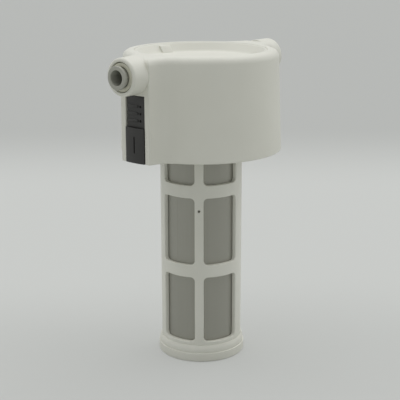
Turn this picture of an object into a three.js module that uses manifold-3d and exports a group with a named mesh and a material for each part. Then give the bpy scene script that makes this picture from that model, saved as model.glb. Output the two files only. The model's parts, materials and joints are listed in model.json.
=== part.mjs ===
// Foot valve with two push-in tube fittings, a check valve and a mesh-lined strainer cage.
// Millimetres, +Z up. The origin is on the foot's resting face, on the axis of the strainer.
// The tube fittings lie along X, at both ends of one line through the head.

import * as THREE from 'three';
import { mergeVertices } from 'three/addons/utils/BufferGeometryUtils.js';
import Module from 'manifold-3d';

const wasm = await Module();
wasm.setup();

const DEG = Math.PI / 180;

// Driving dimensions: clearances
const GAP = 0.3;
const SLIP = 0.4;
const SEAL_GAP = 0.1;
const CUT_OVER = 1;

// Driving dimensions: strainer
const STRAINER_DROP = 96.8;
const FOOT_LIP = 1.4;
const FOOT_H = 4.2;
const FOOT_EDGE = 0.6;
const FOOT_TOP_EDGE = 0.25;
const FOOT_RIM_W = 3.6;
const FOOT_RECESS_H = 1.6;
const SPIGOT_H = 4.4;
const SPIGOT_WALL = 2;
const TUBE_R = 18.6;
const TUBE_WALL = 1.8;
const MESH_T = 0.4;
const WINDOW_REACH = 60 * DEG;
const WINDOW_ROWS = 3;
const FOOT_BAND_H = 5.2;
const BAND_H = 5.9;
const TOP_BAND_H = 3;
const RIB_W = 4.1;
const RIB_TURN = 37 * DEG;
const WINDOW_CORNER_R = 2;
const VENT_R = 0.6;
const VENT_Z = 71.5;
const CAGE_COLLAR_W = 1;
const CAGE_COLLAR_H = 1.8;
const CAGE_FLARE_H = 4.2;
const CAGE_FLANGE_T = 2;
const CAGE_FLANGE_W = 3.3;

// Driving dimensions: head
const HEAD_R = 36.25;
const HEAD_H = 44.6;
const HEAD_DRAFT = 1.7;
const HEAD_FILLET = 3.2;
const HEAD_CHAMFER = 0.5;
const SKIRT_WALL = 3.25;
const BLOCK_REACH = 43;
const BLOCK_W = 16.5;
const BOSS_R = 8;
const BOSS_REACH = 51;
const BOSS_ROOT = 40.4;
const BOSS_RISE = 0.6;
const BOSS_CHAMFER = 0.7;

// Driving dimensions: recess, cover and deck
const COVER_R = 29.3;
const COVER_FLOOR_R = 25.3;
const COVER_T = 1.5;
const COVER_EDGE_T = 1.8;
const COVER_EDGE_W = 1.6;
const COVER_EDGE_DROP = 0.2;
const COVER_LIP_W = 0.9;
const COVER_DISH = 3.7;
const LUG_W = 6;
const LUG_DROP = 0.6;
const LUG_T = 1.2;
const LUG_TURN = 78.5 * DEG;
const DECK_T = 2.6;

// Driving dimensions: bonnet and valve
const CHAMBER_R = 15;
const CHAMBER_WALL = 3.2;
const BONNET_LAND = 1;
const BONNET_FLANGE_T = 1.3;
const BONNET_FLANGE_LIP = 1.6;
const BONNET_PLUG_T = 2.9;
const BONNET_SLOT = [20, 2.4, 0.8];
const HUB_R = 3.6;
const STEM_R = 2;
const STEM_ENGAGED = 1.3;
const LIFT = 3.6;
const POPPET_R = 10.8;
const POPPET_T = 1.4;
const WASHER_R = 10.4;
const WASHER_BORE_R = 5.4;
const WASHER_T = 1.4;
const SPRING_R = 5.4;
const SPRING_WIRE_R = 0.25;
const SPRING_TURNS = 3;
const SPRING_L = 6.5;
const SEAT_BORE_R = 7.2;
const SEAT_LIP_W = 2;
const SEAT_LIP_H = 1;
const SEAT_T = 2.8;
const SPIDER_HUB_R = 4;
const SPIDER_ARMS = 3;
const SPIDER_ARM = [1.6, 2];
const STEM_TAIL = 6.6;
const GASKET_T = 1.2;
const ORING_WIRE_R = 0.75;

// Driving dimensions: core tube and base plate
const CORE_WALL = 2.3;
const CORE_CONE_H = 4.5;
const COLLAR_WALL = 2.9;
const PLATE_RISE = 7.2;
const PLATE_T = 3;
const TAB_REACH = 2.1;
const TAB_T = 2.8;
const TAB_HALF = 9 * DEG;
const TAB_ANGLES = [50, 110, 230, 290].map((angle) => angle * DEG);
const ENTRY_SLACK = 1.5 * DEG;
const LOCK_TURN = 25 * DEG;
const PLATE_RIB = [1.8, 2.6];
const STIFFENER_T = 1.8;
const STIFFENER_ANGLES = [35, 145, 215, 325].map((angle) => angle * DEG);

// Driving dimensions: tube fittings
const SOCKET_R = 6.3;
const SOCKET_DEPTH = 7.6;
const SEAL_BORE_R = 5.05;
const SEAL_BORE_DEPTH = 2.5;
const TUBE_BORE_R = 3.35;
const TUBE_STOP_DEPTH = 3.7;
const PASSAGE_R = 2.3;
const PASSAGE_WALL = 2.1;
const SPACER_T = 1.1;
const SPACER_BORE_R = 3.6;
const GRAB_T = 0.4;
const GRAB_TEETH = 8;
const GRAB_ROOT_R = 4.9;
const GRAB_TOOTH_SHARE = 0.6;
const CARTRIDGE_BORE_R = 4.35;
const CARTRIDGE_RECESS = 0.3;
const COLLET_R = 4;
const COLLET_FLANGE_R = 5;
const COLLET_FLANGE_T = 1.4;
const COLLET_STANDOFF = 1.2;
const COLLET_TRAVEL = 1.3;
const TUBE_ORING_R = 4;
const TUBE_ORING_WIRE_R = 0.93;

// Driving dimensions: release latches
const CHANNEL_HALF_W = 5.4;
const CHANNEL_DEPTH = 5.4;
const LATCH_COVER_H = 15.2;
const LATCH_COVER_T = 0.7;
const LATCH_COVER_PROUD = 0.8;
const LATCH_COVER_CROWN = 0.4;
const LATCH_COVER_CHAMFER = 0.5;
const LATCH_COVER_HALF_W = 5.25;
const LATCH_CHEEK_T = 0.7;
const LATCH_CHEEK_H = 7.8;
const LATCH_FLOOR_T = 1.3;
const SLOT_W = 1;
const SLOT_L = 7.3;
const SLOT_RISE = 4.3;
const FIN_W = 0.5;
const SLIDER_TRAVEL = 4;
const SLIDER_HALF_W = 5.1;
const SLIDER_T = 2.2;
const RIB_H = 0.4;
const GRIP_RIB_T = 1.2;
const GRIP_RIB_PITCH = 3.05;
const GRIP_RIBS = 3;
const GRIP_RIB_SPAN = [-4.4, 1.4];
const GRIP_TOP_DROP = 4.3;
const DIMPLE_R = 0.55;
const DIMPLE_DEPTH = 0.5;
const DIMPLE_Y = 2.75;
const LEG_HALF_W = 3.1;
const LEG_T = 2.4;
const ARM_T = 2;
const TOOTH_T = 1.7;
const TOOTH_H = 2.5;
const LATCH_SPRING_R = 0.95;
const LATCH_SPRING_WIRE_R = 0.1;
const LATCH_SPRING_TURNS = 8;

// Smoothness: sides of a full turn
const SIDES_HEAD_ARC = 18;
const SIDES_CORE = 40;
const SIDES_TUBE = 48;
const SIDES_VALVE = 28;
const SIDES_PORT = 24;
const SIDES_SMALL = 12;
const SIDES_WIRE = 6;
const SECTOR_STEPS = 3;
const CROWN_STEPS = 6;

// Levels and radii that follow from the driving dimensions
const headBottomZ = STRAINER_DROP;
const headTopZ = headBottomZ + HEAD_H;
const skirtR = HEAD_R - SKIRT_WALL;
const portZ = headTopZ - BOSS_R + BOSS_RISE;
const recessR = COVER_R + GAP;
const pocketR = COVER_R - COVER_EDGE_W + GAP;
const coverEdgeZ = headTopZ - COVER_EDGE_DROP;
const coverFloorZ = coverEdgeZ - COVER_DISH;
const coverUnderZ = coverFloorZ - COVER_T;
const ledgeZ = coverEdgeZ - COVER_EDGE_T;
const deckZ = coverUnderZ - GAP - BONNET_FLANGE_T;
const deckUnderZ = deckZ - DECK_T;
const bonnetBoreR = CHAMBER_R + BONNET_LAND;
const bonnetUnderZ = deckZ - BONNET_PLUG_T;
const poppetTopZ = bonnetUnderZ - SPRING_L;
const washerTopZ = poppetTopZ - POPPET_T;
const seatLipZ = washerTopZ - WASHER_T;
const seatTopZ = seatLipZ - SEAT_LIP_H;
const shoulderZ = seatTopZ + GAP;
const seatUnderZ = seatTopZ - SEAT_T;
const cageTopZ = seatUnderZ - GASKET_T;
const collarTopZ = cageTopZ - CAGE_FLANGE_T;
const hubUnderZ = poppetTopZ + LIFT + GAP;
const stemTopZ = hubUnderZ + STEM_ENGAGED;
const guideR = STEM_R + SLIP;
const meshR = TUBE_R - TUBE_WALL - GAP;
const insertR = TUBE_R + CAGE_FLANGE_W;
const coreBoreR = insertR + SLIP;
const coreR = coreBoreR + CORE_WALL;
const seatRingR = (CHAMBER_R + coreBoreR) / 2;
const footR = TUBE_R + FOOT_LIP;
const collarBoreR = TUBE_R + GAP;
const collarR = collarBoreR + COLLAR_WALL;
const plateUnderZ = headBottomZ + PLATE_RISE;
const plateTopZ = plateUnderZ + PLATE_T;
const coreUnderZ = plateTopZ + 2 * GAP;
const plateR = skirtR - SLIP;
const tabR = skirtR - TAB_REACH;
const tabTopZ = plateUnderZ - GAP;
const ribHalfTurn = RIB_W / 2 / TUBE_R;
const windowHalfTurn = (WINDOW_REACH - ribHalfTurn) / 2;
const windowTurn = ribHalfTurn + windowHalfTurn;

// A closed mesh with shared corners, its faces pointing out
function closed(geometry) {
  const bare = geometry.clone();
  bare.deleteAttribute('normal');
  bare.deleteAttribute('uv');
  const merged = mergeVertices(bare, 1e-4);
  const index = merged.index.array;
  const spot = merged.attributes.position;
  const corner = [new THREE.Vector3(), new THREE.Vector3(), new THREE.Vector3()];
  const kept = [];
  let volume = 0;
  for (let i = 0; i < index.length; i += 3) {
    const triangle = [index[i], index[i + 1], index[i + 2]];
    if (new Set(triangle).size === 3) {
      triangle.forEach((vertex, k) => corner[k].fromBufferAttribute(spot, vertex));
      volume += corner[0].dot(corner[1].cross(corner[2]));
      kept.push(triangle);
    }
  }
  merged.setIndex(kept.flatMap(([a, b, c]) => (volume < 0 ? [a, c, b] : [a, b, c])));
  return merged;
}

function solidOf(geometry) {
  const tidy = closed(geometry);
  const mesh = new wasm.Mesh({
    numProp: 3,
    vertProperties: new Float32Array(tidy.attributes.position.array),
    triVerts: new Uint32Array(tidy.index.array),
  });
  return new wasm.Manifold(mesh);
}

function geometryOf(solid) {
  const mesh = solid.getMesh();
  const geometry = new THREE.BufferGeometry();
  geometry.setAttribute('position', new THREE.BufferAttribute(mesh.vertProperties, 3));
  geometry.setIndex(new THREE.BufferAttribute(mesh.triVerts, 1));
  return geometry;
}

function join(...geometries) {
  return geometryOf(geometries.map(solidOf).reduce((whole, next) => whole.add(next)));
}

function cut(geometry, ...tools) {
  return geometryOf(tools.map(solidOf).reduce((whole, next) => whole.subtract(next), solidOf(geometry)));
}

function box(x0, x1, y0, y1, z0, z1) {
  const shape = new THREE.BoxGeometry(x1 - x0, y1 - y0, z1 - z0);
  return shape.translate((x0 + x1) / 2, (y0 + y1) / 2, (z0 + z1) / 2);
}

// A body turned about Z from a closed outline of [radius, height] points
function turned(outline, sides) {
  const points = [...outline, outline[0]].map(([r, z]) => new THREE.Vector2(r, z));
  return closed(new THREE.LatheGeometry(points, sides).rotateX(Math.PI / 2));
}

function disc(r, z0, z1, sides) {
  return turned([[0, z0], [r, z0], [r, z1], [0, z1]], sides);
}

function ring(r0, r1, z0, z1, sides) {
  return turned([[r0, z0], [r1, z0], [r1, z1], [r0, z1]], sides);
}

function oRing(radius, wireR, z, sides) {
  const section = [];
  for (let i = 0; i < SIDES_WIRE; i += 1) {
    const angle = (i / SIDES_WIRE) * 2 * Math.PI;
    section.push([radius + wireR * Math.cos(angle), z + wireR * Math.sin(angle)]);
  }
  return turned(section, sides);
}

// A block between two radii, round an angle about Z
function sector(r0, r1, z0, z1, angle, half) {
  const shape = new THREE.Shape();
  shape.absarc(0, 0, r1, angle - half, angle + half, false);
  shape.absarc(0, 0, r0, angle + half, angle - half, true);
  const options = { depth: z1 - z0, bevelEnabled: false, curveSegments: SECTOR_STEPS };
  return new THREE.ExtrudeGeometry(shape, options).translate(0, 0, z0);
}

// A round rod between two points
function rod(from, to, r, sides) {
  const axis = new THREE.Vector3().subVectors(to, from);
  const shape = new THREE.CylinderGeometry(r, r, axis.length(), sides);
  const upright = new THREE.Vector3(0, 1, 0);
  const turn = new THREE.Quaternion().setFromUnitVectors(upright, axis.clone().normalize());
  const middle = new THREE.Vector3().addVectors(from, to).multiplyScalar(0.5);
  return shape.applyQuaternion(turn).translate(middle.x, middle.y, middle.z);
}

// A closed body through rings of equal point counts, capped at both ends
function loft(rings) {
  const count = rings[0].length;
  const index = [];
  for (let level = 0; level + 1 < rings.length; level += 1) {
    for (let i = 0; i < count; i += 1) {
      const a = level * count + i;
      const b = level * count + ((i + 1) % count);
      index.push(a, b, b + count, a, b + count, a + count);
    }
  }
  const last = rings.length - 1;
  for (const level of [0, last]) {
    const outline = rings[level].map((point) => new THREE.Vector2(point.u, point.v));
    const first = level * count;
    for (const [a, b, c] of THREE.ShapeUtils.triangulateShape(outline, [])) {
      const order = level === last ? [a, b, c] : [a, c, b];
      index.push(...order.map((corner) => first + corner));
    }
  }
  const geometry = new THREE.BufferGeometry();
  const spots = rings.flat().flatMap(({ x, y, z }) => [x, y, z]);
  geometry.setAttribute('position', new THREE.BufferAttribute(new Float32Array(spots), 3));
  geometry.setIndex(index);
  return closed(geometry);
}

// A spring wire wound about Z as one unbroken tube with flat ends
function coil(radius, wireR, z0, z1, turns) {
  const stepsPerTurn = 8;
  const sides = 5;
  const steps = turns * stepsPerTurn;
  const low = z0 + wireR + SEAL_GAP;
  const high = z1 - wireR - SEAL_GAP;
  const rings = [];
  for (let i = 0; i <= steps; i += 1) {
    const angle = (i / stepsPerTurn) * 2 * Math.PI;
    const z = low + ((high - low) * i) / steps;
    const section = [];
    for (let k = 0; k < sides; k += 1) {
      const roll = (k / sides) * 2 * Math.PI;
      const r = radius + wireR * Math.cos(roll);
      const u = Math.cos(roll);
      const v = Math.sin(roll);
      section.push({ u, v, x: r * Math.cos(angle), y: r * Math.sin(angle), z: z + wireR * Math.sin(roll) });
    }
    rings.push(section);
  }
  const leastGap = (high - low) / turns - 2 * wireR;
  console.log(`coil of radius ${radius}: least gap to itself ${leastGap.toFixed(2)} mm`);
  return loft(rings);
}

// Head outline drawn in by an inset: a round body, narrower with height, whose two fitting blocks blend
// into it by hollow arcs that meet the round body smoothly and the flat of the block squarely
function headOutline(inset, z) {
  const half = BLOCK_W / 2;
  const bodyR = HEAD_R - (HEAD_DRAFT * (z - headBottomZ)) / HEAD_H;
  const hollowR = (BLOCK_REACH ** 2 + half ** 2 - bodyR ** 2) / (2 * (bodyR - half));
  const centreY = half + hollowR;
  const meetAngle = Math.atan2(centreY, BLOCK_REACH);
  const r = bodyR - inset;
  const arcR = hollowR + inset;
  const startAngle = Math.asin(inset / arcR);
  const endAngle = Math.PI / 2 - meetAngle;
  const hollowSteps = 6;
  const quarter = [];
  for (let i = 0; i <= hollowSteps; i += 1) {
    const angle = startAngle + ((endAngle - startAngle) * i) / hollowSteps;
    quarter.push([BLOCK_REACH - arcR * Math.sin(angle), centreY - arcR * Math.cos(angle)]);
  }
  const points = [...quarter];
  for (let i = 1; i < SIDES_HEAD_ARC; i += 1) {
    const angle = meetAngle + ((Math.PI - 2 * meetAngle) * i) / SIDES_HEAD_ARC;
    points.push([r * Math.cos(angle), r * Math.sin(angle)]);
  }
  quarter.reverse().forEach(([x, y]) => points.push([-x, y]));
  const whole = [...points, ...points.map(([x, y]) => [-x, -y])];
  return whole.map(([x, y]) => ({ x, y, z, u: x, v: y }));
}

function headBlank() {
  const filletSteps = 4;
  const rings = [
    headOutline(HEAD_CHAMFER, headBottomZ),
    headOutline(0, headBottomZ + HEAD_CHAMFER),
  ];
  for (let i = 0; i <= filletSteps; i += 1) {
    const angle = ((i / filletSteps) * Math.PI) / 2;
    const inset = HEAD_FILLET * (1 - Math.cos(angle));
    rings.push(headOutline(inset, headTopZ - HEAD_FILLET * (1 - Math.sin(angle))));
  }
  return loft(rings);
}

// A body turned about Z, laid along X at the height of the tube fittings, for one side or the other
function atPort(geometry, side) {
  const along = geometry.clone().rotateY(Math.PI / 2).translate(0, 0, portZ);
  return side > 0 ? along : along.rotateZ(Math.PI);
}

const sealBoreR = BOSS_REACH - SOCKET_DEPTH;
const tubeBoreStart = sealBoreR - SEAL_BORE_DEPTH;
const tubeStop = tubeBoreStart - TUBE_STOP_DEPTH;

function passageEnds(side, beyond) {
  const inner = new THREE.Vector3(CHAMBER_R - beyond, 0, (seatLipZ + bonnetUnderZ) / 2);
  const outer = new THREE.Vector3(tubeStop, 0, portZ);
  return [inner, outer].map((point) => new THREE.Vector3(side * point.x, 0, point.z));
}

function latchChannel(side) {
  const top = portZ - BOSS_R - GAP;
  const floorX = BLOCK_REACH - CHANNEL_DEPTH;
  const low = headBottomZ - CUT_OVER;
  const windowTop = plateUnderZ + TOOTH_H - ARM_T / 2 + GAP;
  const windowHalf = LEG_HALF_W + SLIP;
  const channel = box(floorX, BLOCK_REACH + CUT_OVER, -CHANNEL_HALF_W, CHANNEL_HALF_W, low, top);
  const window = box(skirtR - CUT_OVER, floorX + CUT_OVER, -windowHalf, windowHalf, low, windowTop);
  return [channel, window].map((tool) => (side > 0 ? tool : tool.rotateZ(Math.PI)));
}

function headShell() {
  const sides = [1, -1];
  const bossSolid = turned([
    [0, BOSS_ROOT],
    [BOSS_R, BOSS_ROOT],
    [BOSS_R, BOSS_REACH - BOSS_CHAMFER],
    [BOSS_R - BOSS_CHAMFER, BOSS_REACH],
    [0, BOSS_REACH],
  ], SIDES_PORT);
  const outside = join(headBlank(), ...sides.map((side) => atPort(bossSolid, side)));
  const shell = cut(
    outside,
    disc(skirtR, headBottomZ - CUT_OVER, deckUnderZ, SIDES_CORE),
    disc(recessR, ledgeZ, headTopZ + CUT_OVER, SIDES_CORE),
    disc(pocketR, deckZ, ledgeZ + CUT_OVER, SIDES_CORE),
  );
  const chamberOutR = CHAMBER_R + CHAMBER_WALL;
  const core = turned([
    [0, coreUnderZ],
    [coreR, coreUnderZ],
    [coreR, shoulderZ],
    [chamberOutR, shoulderZ + CORE_CONE_H],
    [chamberOutR, deckZ],
    [0, deckZ],
  ], SIDES_CORE);
  const passageWalls = sides.map((side) => {
    const [inner, outer] = passageEnds(side, -CHAMBER_WALL / 2);
    return rod(inner, outer, PASSAGE_R + PASSAGE_WALL, SIDES_SMALL);
  });
  const stiffeners = STIFFENER_ANGLES.map((angle) => {
    const half = STIFFENER_T / 2;
    const wall = box(coreR - GAP, skirtR + GAP, -half, half, shoulderZ - CORE_CONE_H, deckUnderZ + GAP);
    const nearCore = box(chamberOutR - GAP, coreR, -half, half, shoulderZ + CORE_CONE_H, deckUnderZ + GAP);
    return join(wall, nearCore).rotateZ(angle);
  });
  const tabs = TAB_ANGLES.map((angle) => (
    sector(tabR, skirtR + GAP, tabTopZ - TAB_T, tabTopZ, angle, TAB_HALF)
  ));
  const full = join(shell, core, ...passageWalls, ...stiffeners, ...tabs);
  const socket = turned([
    [0, tubeStop],
    [TUBE_BORE_R, tubeStop],
    [TUBE_BORE_R, tubeBoreStart],
    [SEAL_BORE_R, tubeBoreStart],
    [SEAL_BORE_R, sealBoreR],
    [SOCKET_R, sealBoreR],
    [SOCKET_R, BOSS_REACH + CUT_OVER],
    [0, BOSS_REACH + CUT_OVER],
  ], SIDES_PORT);
  const bores = turned([
    [0, coreUnderZ - CUT_OVER],
    [coreBoreR, coreUnderZ - CUT_OVER],
    [coreBoreR, shoulderZ],
    [CHAMBER_R, shoulderZ],
    [CHAMBER_R, bonnetUnderZ - GAP],
    [bonnetBoreR, bonnetUnderZ - GAP],
    [bonnetBoreR, deckZ + CUT_OVER],
    [0, deckZ + CUT_OVER],
  ], SIDES_CORE);
  const passages = sides.map((side) => rod(...passageEnds(side, CUT_OVER), PASSAGE_R, SIDES_SMALL));
  const sockets = sides.map((side) => atPort(socket, side));
  return cut(full, bores, ...passages, ...sockets, ...sides.flatMap(latchChannel));
}

function topCover() {
  const slopeUnderR = pocketR - GAP;
  const dish = turned([
    [0, coverUnderZ],
    [COVER_FLOOR_R, coverUnderZ],
    [slopeUnderR, ledgeZ - COVER_T / 2],
    [slopeUnderR, ledgeZ],
    [COVER_R, ledgeZ],
    [COVER_R, coverEdgeZ],
    [COVER_R - COVER_LIP_W, coverEdgeZ],
    [COVER_FLOOR_R, coverFloorZ],
    [0, coverFloorZ],
  ], SIDES_CORE);
  const slope = (COVER_R - COVER_LIP_W - COVER_FLOOR_R) / COVER_DISH;
  const slopeR = (z) => COVER_FLOOR_R + slope * (z - coverFloorZ);
  const low = coverFloorZ - SEAL_GAP;
  const high = coverEdgeZ - LUG_DROP;
  const side = new THREE.Shape();
  side.moveTo(slopeR(low) - LUG_T, low);
  side.lineTo(slopeR(low) + GAP, low);
  side.lineTo(slopeR(high) + GAP, high);
  side.lineTo(slopeR(high) - LUG_T, high);
  side.closePath();
  const lug = new THREE.ExtrudeGeometry(side, { depth: LUG_W, bevelEnabled: false });
  lug.rotateX(Math.PI / 2).translate(0, LUG_W / 2, 0);
  return join(dish, lug.rotateZ(LUG_TURN));
}

function bonnet() {
  const plugR = bonnetBoreR - GAP;
  const grooveR = plugR - 2 * ORING_WIRE_R + 2 * SEAL_GAP;
  const grooveZ = bonnetUnderZ + BONNET_PLUG_T / 2;
  const grooveHalf = ORING_WIRE_R + SEAL_GAP;
  const flangeTopZ = deckZ + BONNET_FLANGE_T;
  const body = turned([
    [guideR, hubUnderZ],
    [HUB_R, hubUnderZ],
    [HUB_R, bonnetUnderZ],
    [plugR, bonnetUnderZ],
    [plugR, grooveZ - grooveHalf],
    [grooveR, grooveZ - grooveHalf],
    [grooveR, grooveZ + grooveHalf],
    [plugR, grooveZ + grooveHalf],
    [plugR, deckZ],
    [bonnetBoreR + BONNET_FLANGE_LIP, deckZ],
    [bonnetBoreR + BONNET_FLANGE_LIP, flangeTopZ],
    [0, flangeTopZ],
    [0, stemTopZ + LIFT + SLIP],
    [guideR, stemTopZ + LIFT + SLIP],
  ], SIDES_VALVE);
  const [length, width, depth] = BONNET_SLOT;
  const slot = box(-length / 2, length / 2, -width / 2, width / 2, flangeTopZ - depth, headTopZ);
  return cut(body, slot);
}

function bonnetORing() {
  const radius = bonnetBoreR - GAP - ORING_WIRE_R + 2 * SEAL_GAP;
  return oRing(radius, ORING_WIRE_R, bonnetUnderZ + BONNET_PLUG_T / 2, SIDES_VALVE);
}

function valveSeat() {
  const grooveZ = seatTopZ - 2 * ORING_WIRE_R + SEAL_GAP;
  const grooveHalf = ORING_WIRE_R + SEAL_GAP;
  const body = turned([
    [SEAT_BORE_R, seatUnderZ],
    [insertR, seatUnderZ],
    [insertR, seatTopZ],
    [seatRingR + grooveHalf, seatTopZ],
    [seatRingR + grooveHalf, grooveZ],
    [seatRingR - grooveHalf, grooveZ],
    [seatRingR - grooveHalf, seatTopZ],
    [SEAT_BORE_R + SEAT_LIP_W, seatTopZ],
    [SEAT_BORE_R + SEAT_LIP_W, seatLipZ],
    [SEAT_BORE_R, seatLipZ],
  ], SIDES_VALVE);
  const [width, height] = SPIDER_ARM;
  const hub = disc(SPIDER_HUB_R, seatUnderZ - GASKET_T, seatUnderZ + height, SIDES_SMALL);
  const arms = [...Array(SPIDER_ARMS).keys()].map((i) => {
    const arm = box(0, SEAT_BORE_R + GAP, -width / 2, width / 2, seatUnderZ, seatUnderZ + height);
    return arm.rotateZ((i / SPIDER_ARMS) * 2 * Math.PI);
  });
  const guide = disc(guideR, seatUnderZ - 2 * GASKET_T, seatLipZ, SIDES_SMALL);
  return cut(join(body, hub, ...arms), guide);
}

function seatORing() {
  const z = shoulderZ - SEAL_GAP - ORING_WIRE_R;
  return oRing(seatRingR, ORING_WIRE_R, z, SIDES_VALVE);
}

function poppet() {
  const tailZ = seatLipZ - STEM_TAIL;
  return turned([
    [0, tailZ],
    [STEM_R, tailZ],
    [STEM_R, seatLipZ],
    [WASHER_BORE_R - GAP, seatLipZ],
    [WASHER_BORE_R - GAP, washerTopZ],
    [POPPET_R, washerTopZ],
    [POPPET_R, poppetTopZ],
    [STEM_R, poppetTopZ],
    [STEM_R, stemTopZ],
    [0, stemTopZ],
  ], SIDES_VALVE);
}

function poppetSeal() {
  return ring(WASHER_BORE_R, WASHER_R, seatLipZ, washerTopZ, SIDES_VALVE);
}

function poppetSpring() {
  return coil(SPRING_R, SPRING_WIRE_R, poppetTopZ, bonnetUnderZ, SPRING_TURNS);
}

// One window's cutting body: a round-cornered outline wrapped round the tube
function windowTool(z0, z1, angle) {
  const cornerSteps = 2;
  const edgeSteps = 3;
  const reachU = windowHalfTurn * TUBE_R - WINDOW_CORNER_R;
  const reachV = (z1 - z0) / 2 - WINDOW_CORNER_R;
  const outline = [];
  for (let corner = 0; corner < 4; corner += 1) {
    const signU = corner === 0 || corner === 3 ? 1 : -1;
    const signV = corner < 2 ? 1 : -1;
    for (let i = 0; i <= cornerSteps; i += 1) {
      const turn = ((corner + i / cornerSteps) * Math.PI) / 2;
      const u = signU * reachU + WINDOW_CORNER_R * Math.cos(turn);
      const v = signV * reachV + WINDOW_CORNER_R * Math.sin(turn);
      outline.push([u, v]);
    }
    if (corner % 2 === 0) {
      const edgeV = signV * (reachV + WINDOW_CORNER_R);
      for (let i = 1; i < edgeSteps; i += 1) {
        outline.push([signU * reachU * (1 - (2 * i) / edgeSteps), edgeV]);
      }
    }
  }
  const middle = (z0 + z1) / 2;
  const rings = [TUBE_R - 2 * TUBE_WALL, TUBE_R + TUBE_WALL].map((r) => (
    outline.map(([u, v]) => {
      const turn = angle + u / TUBE_R;
      return { u, v, x: r * Math.cos(turn), y: r * Math.sin(turn), z: middle + v };
    })
  ));
  return loft(rings);
}

function strainerCage() {
  const endR = TUBE_R + CAGE_COLLAR_W;
  const tube = turned([
    [TUBE_R - TUBE_WALL, FOOT_H],
    [endR, FOOT_H],
    [endR, FOOT_H + CAGE_COLLAR_H],
    [TUBE_R, FOOT_H + CAGE_FLARE_H],
    [TUBE_R, collarTopZ],
    [insertR, collarTopZ],
    [insertR, cageTopZ],
    [TUBE_R - TUBE_WALL, cageTopZ],
  ], SIDES_TUBE);
  const firstZ = FOOT_H + FOOT_BAND_H;
  const windowH = (cageTopZ - TOP_BAND_H - firstZ - (WINDOW_ROWS - 1) * BAND_H) / WINDOW_ROWS;
  const tools = [];
  for (let row = 0; row < WINDOW_ROWS; row += 1) {
    const z0 = firstZ + row * (windowH + BAND_H);
    for (const rib of [RIB_TURN, RIB_TURN + Math.PI]) {
      tools.push(windowTool(z0, z0 + windowH, rib - windowTurn));
      tools.push(windowTool(z0, z0 + windowH, rib + windowTurn));
    }
  }
  const axisPoint = new THREE.Vector3(0, 0, VENT_Z);
  const outside = new THREE.Vector3(-TUBE_R - CUT_OVER, 0, VENT_Z);
  const vent = rod(axisPoint, outside, VENT_R, SIDES_SMALL);
  return cut(tube, ...tools, vent.rotateZ(RIB_TURN));
}

function meshSleeve() {
  return ring(meshR - MESH_T, meshR, FOOT_H + GAP, cageTopZ - GAP, SIDES_TUBE);
}

function footCap() {
  const spigotR = meshR - MESH_T - GAP;
  const floorZ = FOOT_H - FOOT_EDGE;
  return turned([
    [0, FOOT_RECESS_H],
    [footR - FOOT_RIM_W, FOOT_RECESS_H],
    [footR - FOOT_RIM_W, 0],
    [footR - FOOT_EDGE, 0],
    [footR, FOOT_EDGE],
    [footR, FOOT_H - FOOT_TOP_EDGE],
    [footR - FOOT_TOP_EDGE, FOOT_H],
    [spigotR, FOOT_H],
    [spigotR, FOOT_H + SPIGOT_H],
    [spigotR - SPIGOT_WALL, FOOT_H + SPIGOT_H],
    [spigotR - SPIGOT_WALL, floorZ],
    [0, floorZ],
  ], SIDES_TUBE);
}

function cageGasket() {
  return ring(TUBE_R - TUBE_WALL, insertR, cageTopZ, seatUnderZ, SIDES_VALVE);
}

function basePlate() {
  const plate = turned([
    [collarBoreR, plateUnderZ],
    [plateR, plateUnderZ],
    [plateR, plateTopZ],
    [collarR, plateTopZ],
    [collarR, collarTopZ],
    [collarBoreR, collarTopZ],
  ], SIDES_CORE);
  const [ribT, ribH] = PLATE_RIB;
  const ribs = TAB_ANGLES.map((angle) => {
    const low = plateUnderZ - ribH;
    const rib = box(collarBoreR + GAP, tabR - GAP, -ribT / 2, ribT / 2, low, plateUnderZ + GAP);
    return rib.rotateZ(angle);
  });
  const entries = TAB_ANGLES.map((angle) => {
    const [low, high] = [plateUnderZ - GAP, plateTopZ + GAP];
    return sector(tabR - GAP, plateR + CUT_OVER, low, high, angle - LOCK_TURN, TAB_HALF + ENTRY_SLACK);
  });
  const notchX = plateR - TOOTH_T - 2 * SLIP;
  const notchHalf = LEG_HALF_W + GAP;
  const notches = [0, Math.PI].map((turn) => {
    const low = plateUnderZ - CUT_OVER;
    const tool = box(notchX, plateR + CUT_OVER, -notchHalf, notchHalf, low, plateTopZ + CUT_OVER);
    return tool.rotateZ(turn);
  });
  return cut(join(plate, ...ribs), ...entries, ...notches);
}

// Distances of the fitting's pieces from the valve's axis
const spacerX = sealBoreR + SEAL_GAP;
const grabX = spacerX + SPACER_T + SEAL_GAP;
const cartridgeX = grabX + GRAB_T + SEAL_GAP;
const cartridgeEndX = BOSS_REACH - CARTRIDGE_RECESS;
const colletX = grabX + GRAB_T + COLLET_TRAVEL + SEAL_GAP;
const colletFlangeX = BOSS_REACH + COLLET_STANDOFF;
const pressedR = SOCKET_R - GAP;

function cartridge() {
  return ring(CARTRIDGE_BORE_R, pressedR, cartridgeX, cartridgeEndX, SIDES_PORT);
}

function collet() {
  const endX = colletFlangeX + COLLET_FLANGE_T;
  return turned([
    [TUBE_BORE_R - SEAL_GAP, colletX],
    [COLLET_R, colletX],
    [COLLET_R, colletFlangeX],
    [COLLET_FLANGE_R, colletFlangeX],
    [COLLET_FLANGE_R, endX - GAP],
    [COLLET_FLANGE_R - GAP, endX],
    [TUBE_BORE_R + GAP, endX],
    [TUBE_BORE_R - SEAL_GAP, endX - SLIP],
  ], SIDES_PORT);
}

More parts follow.
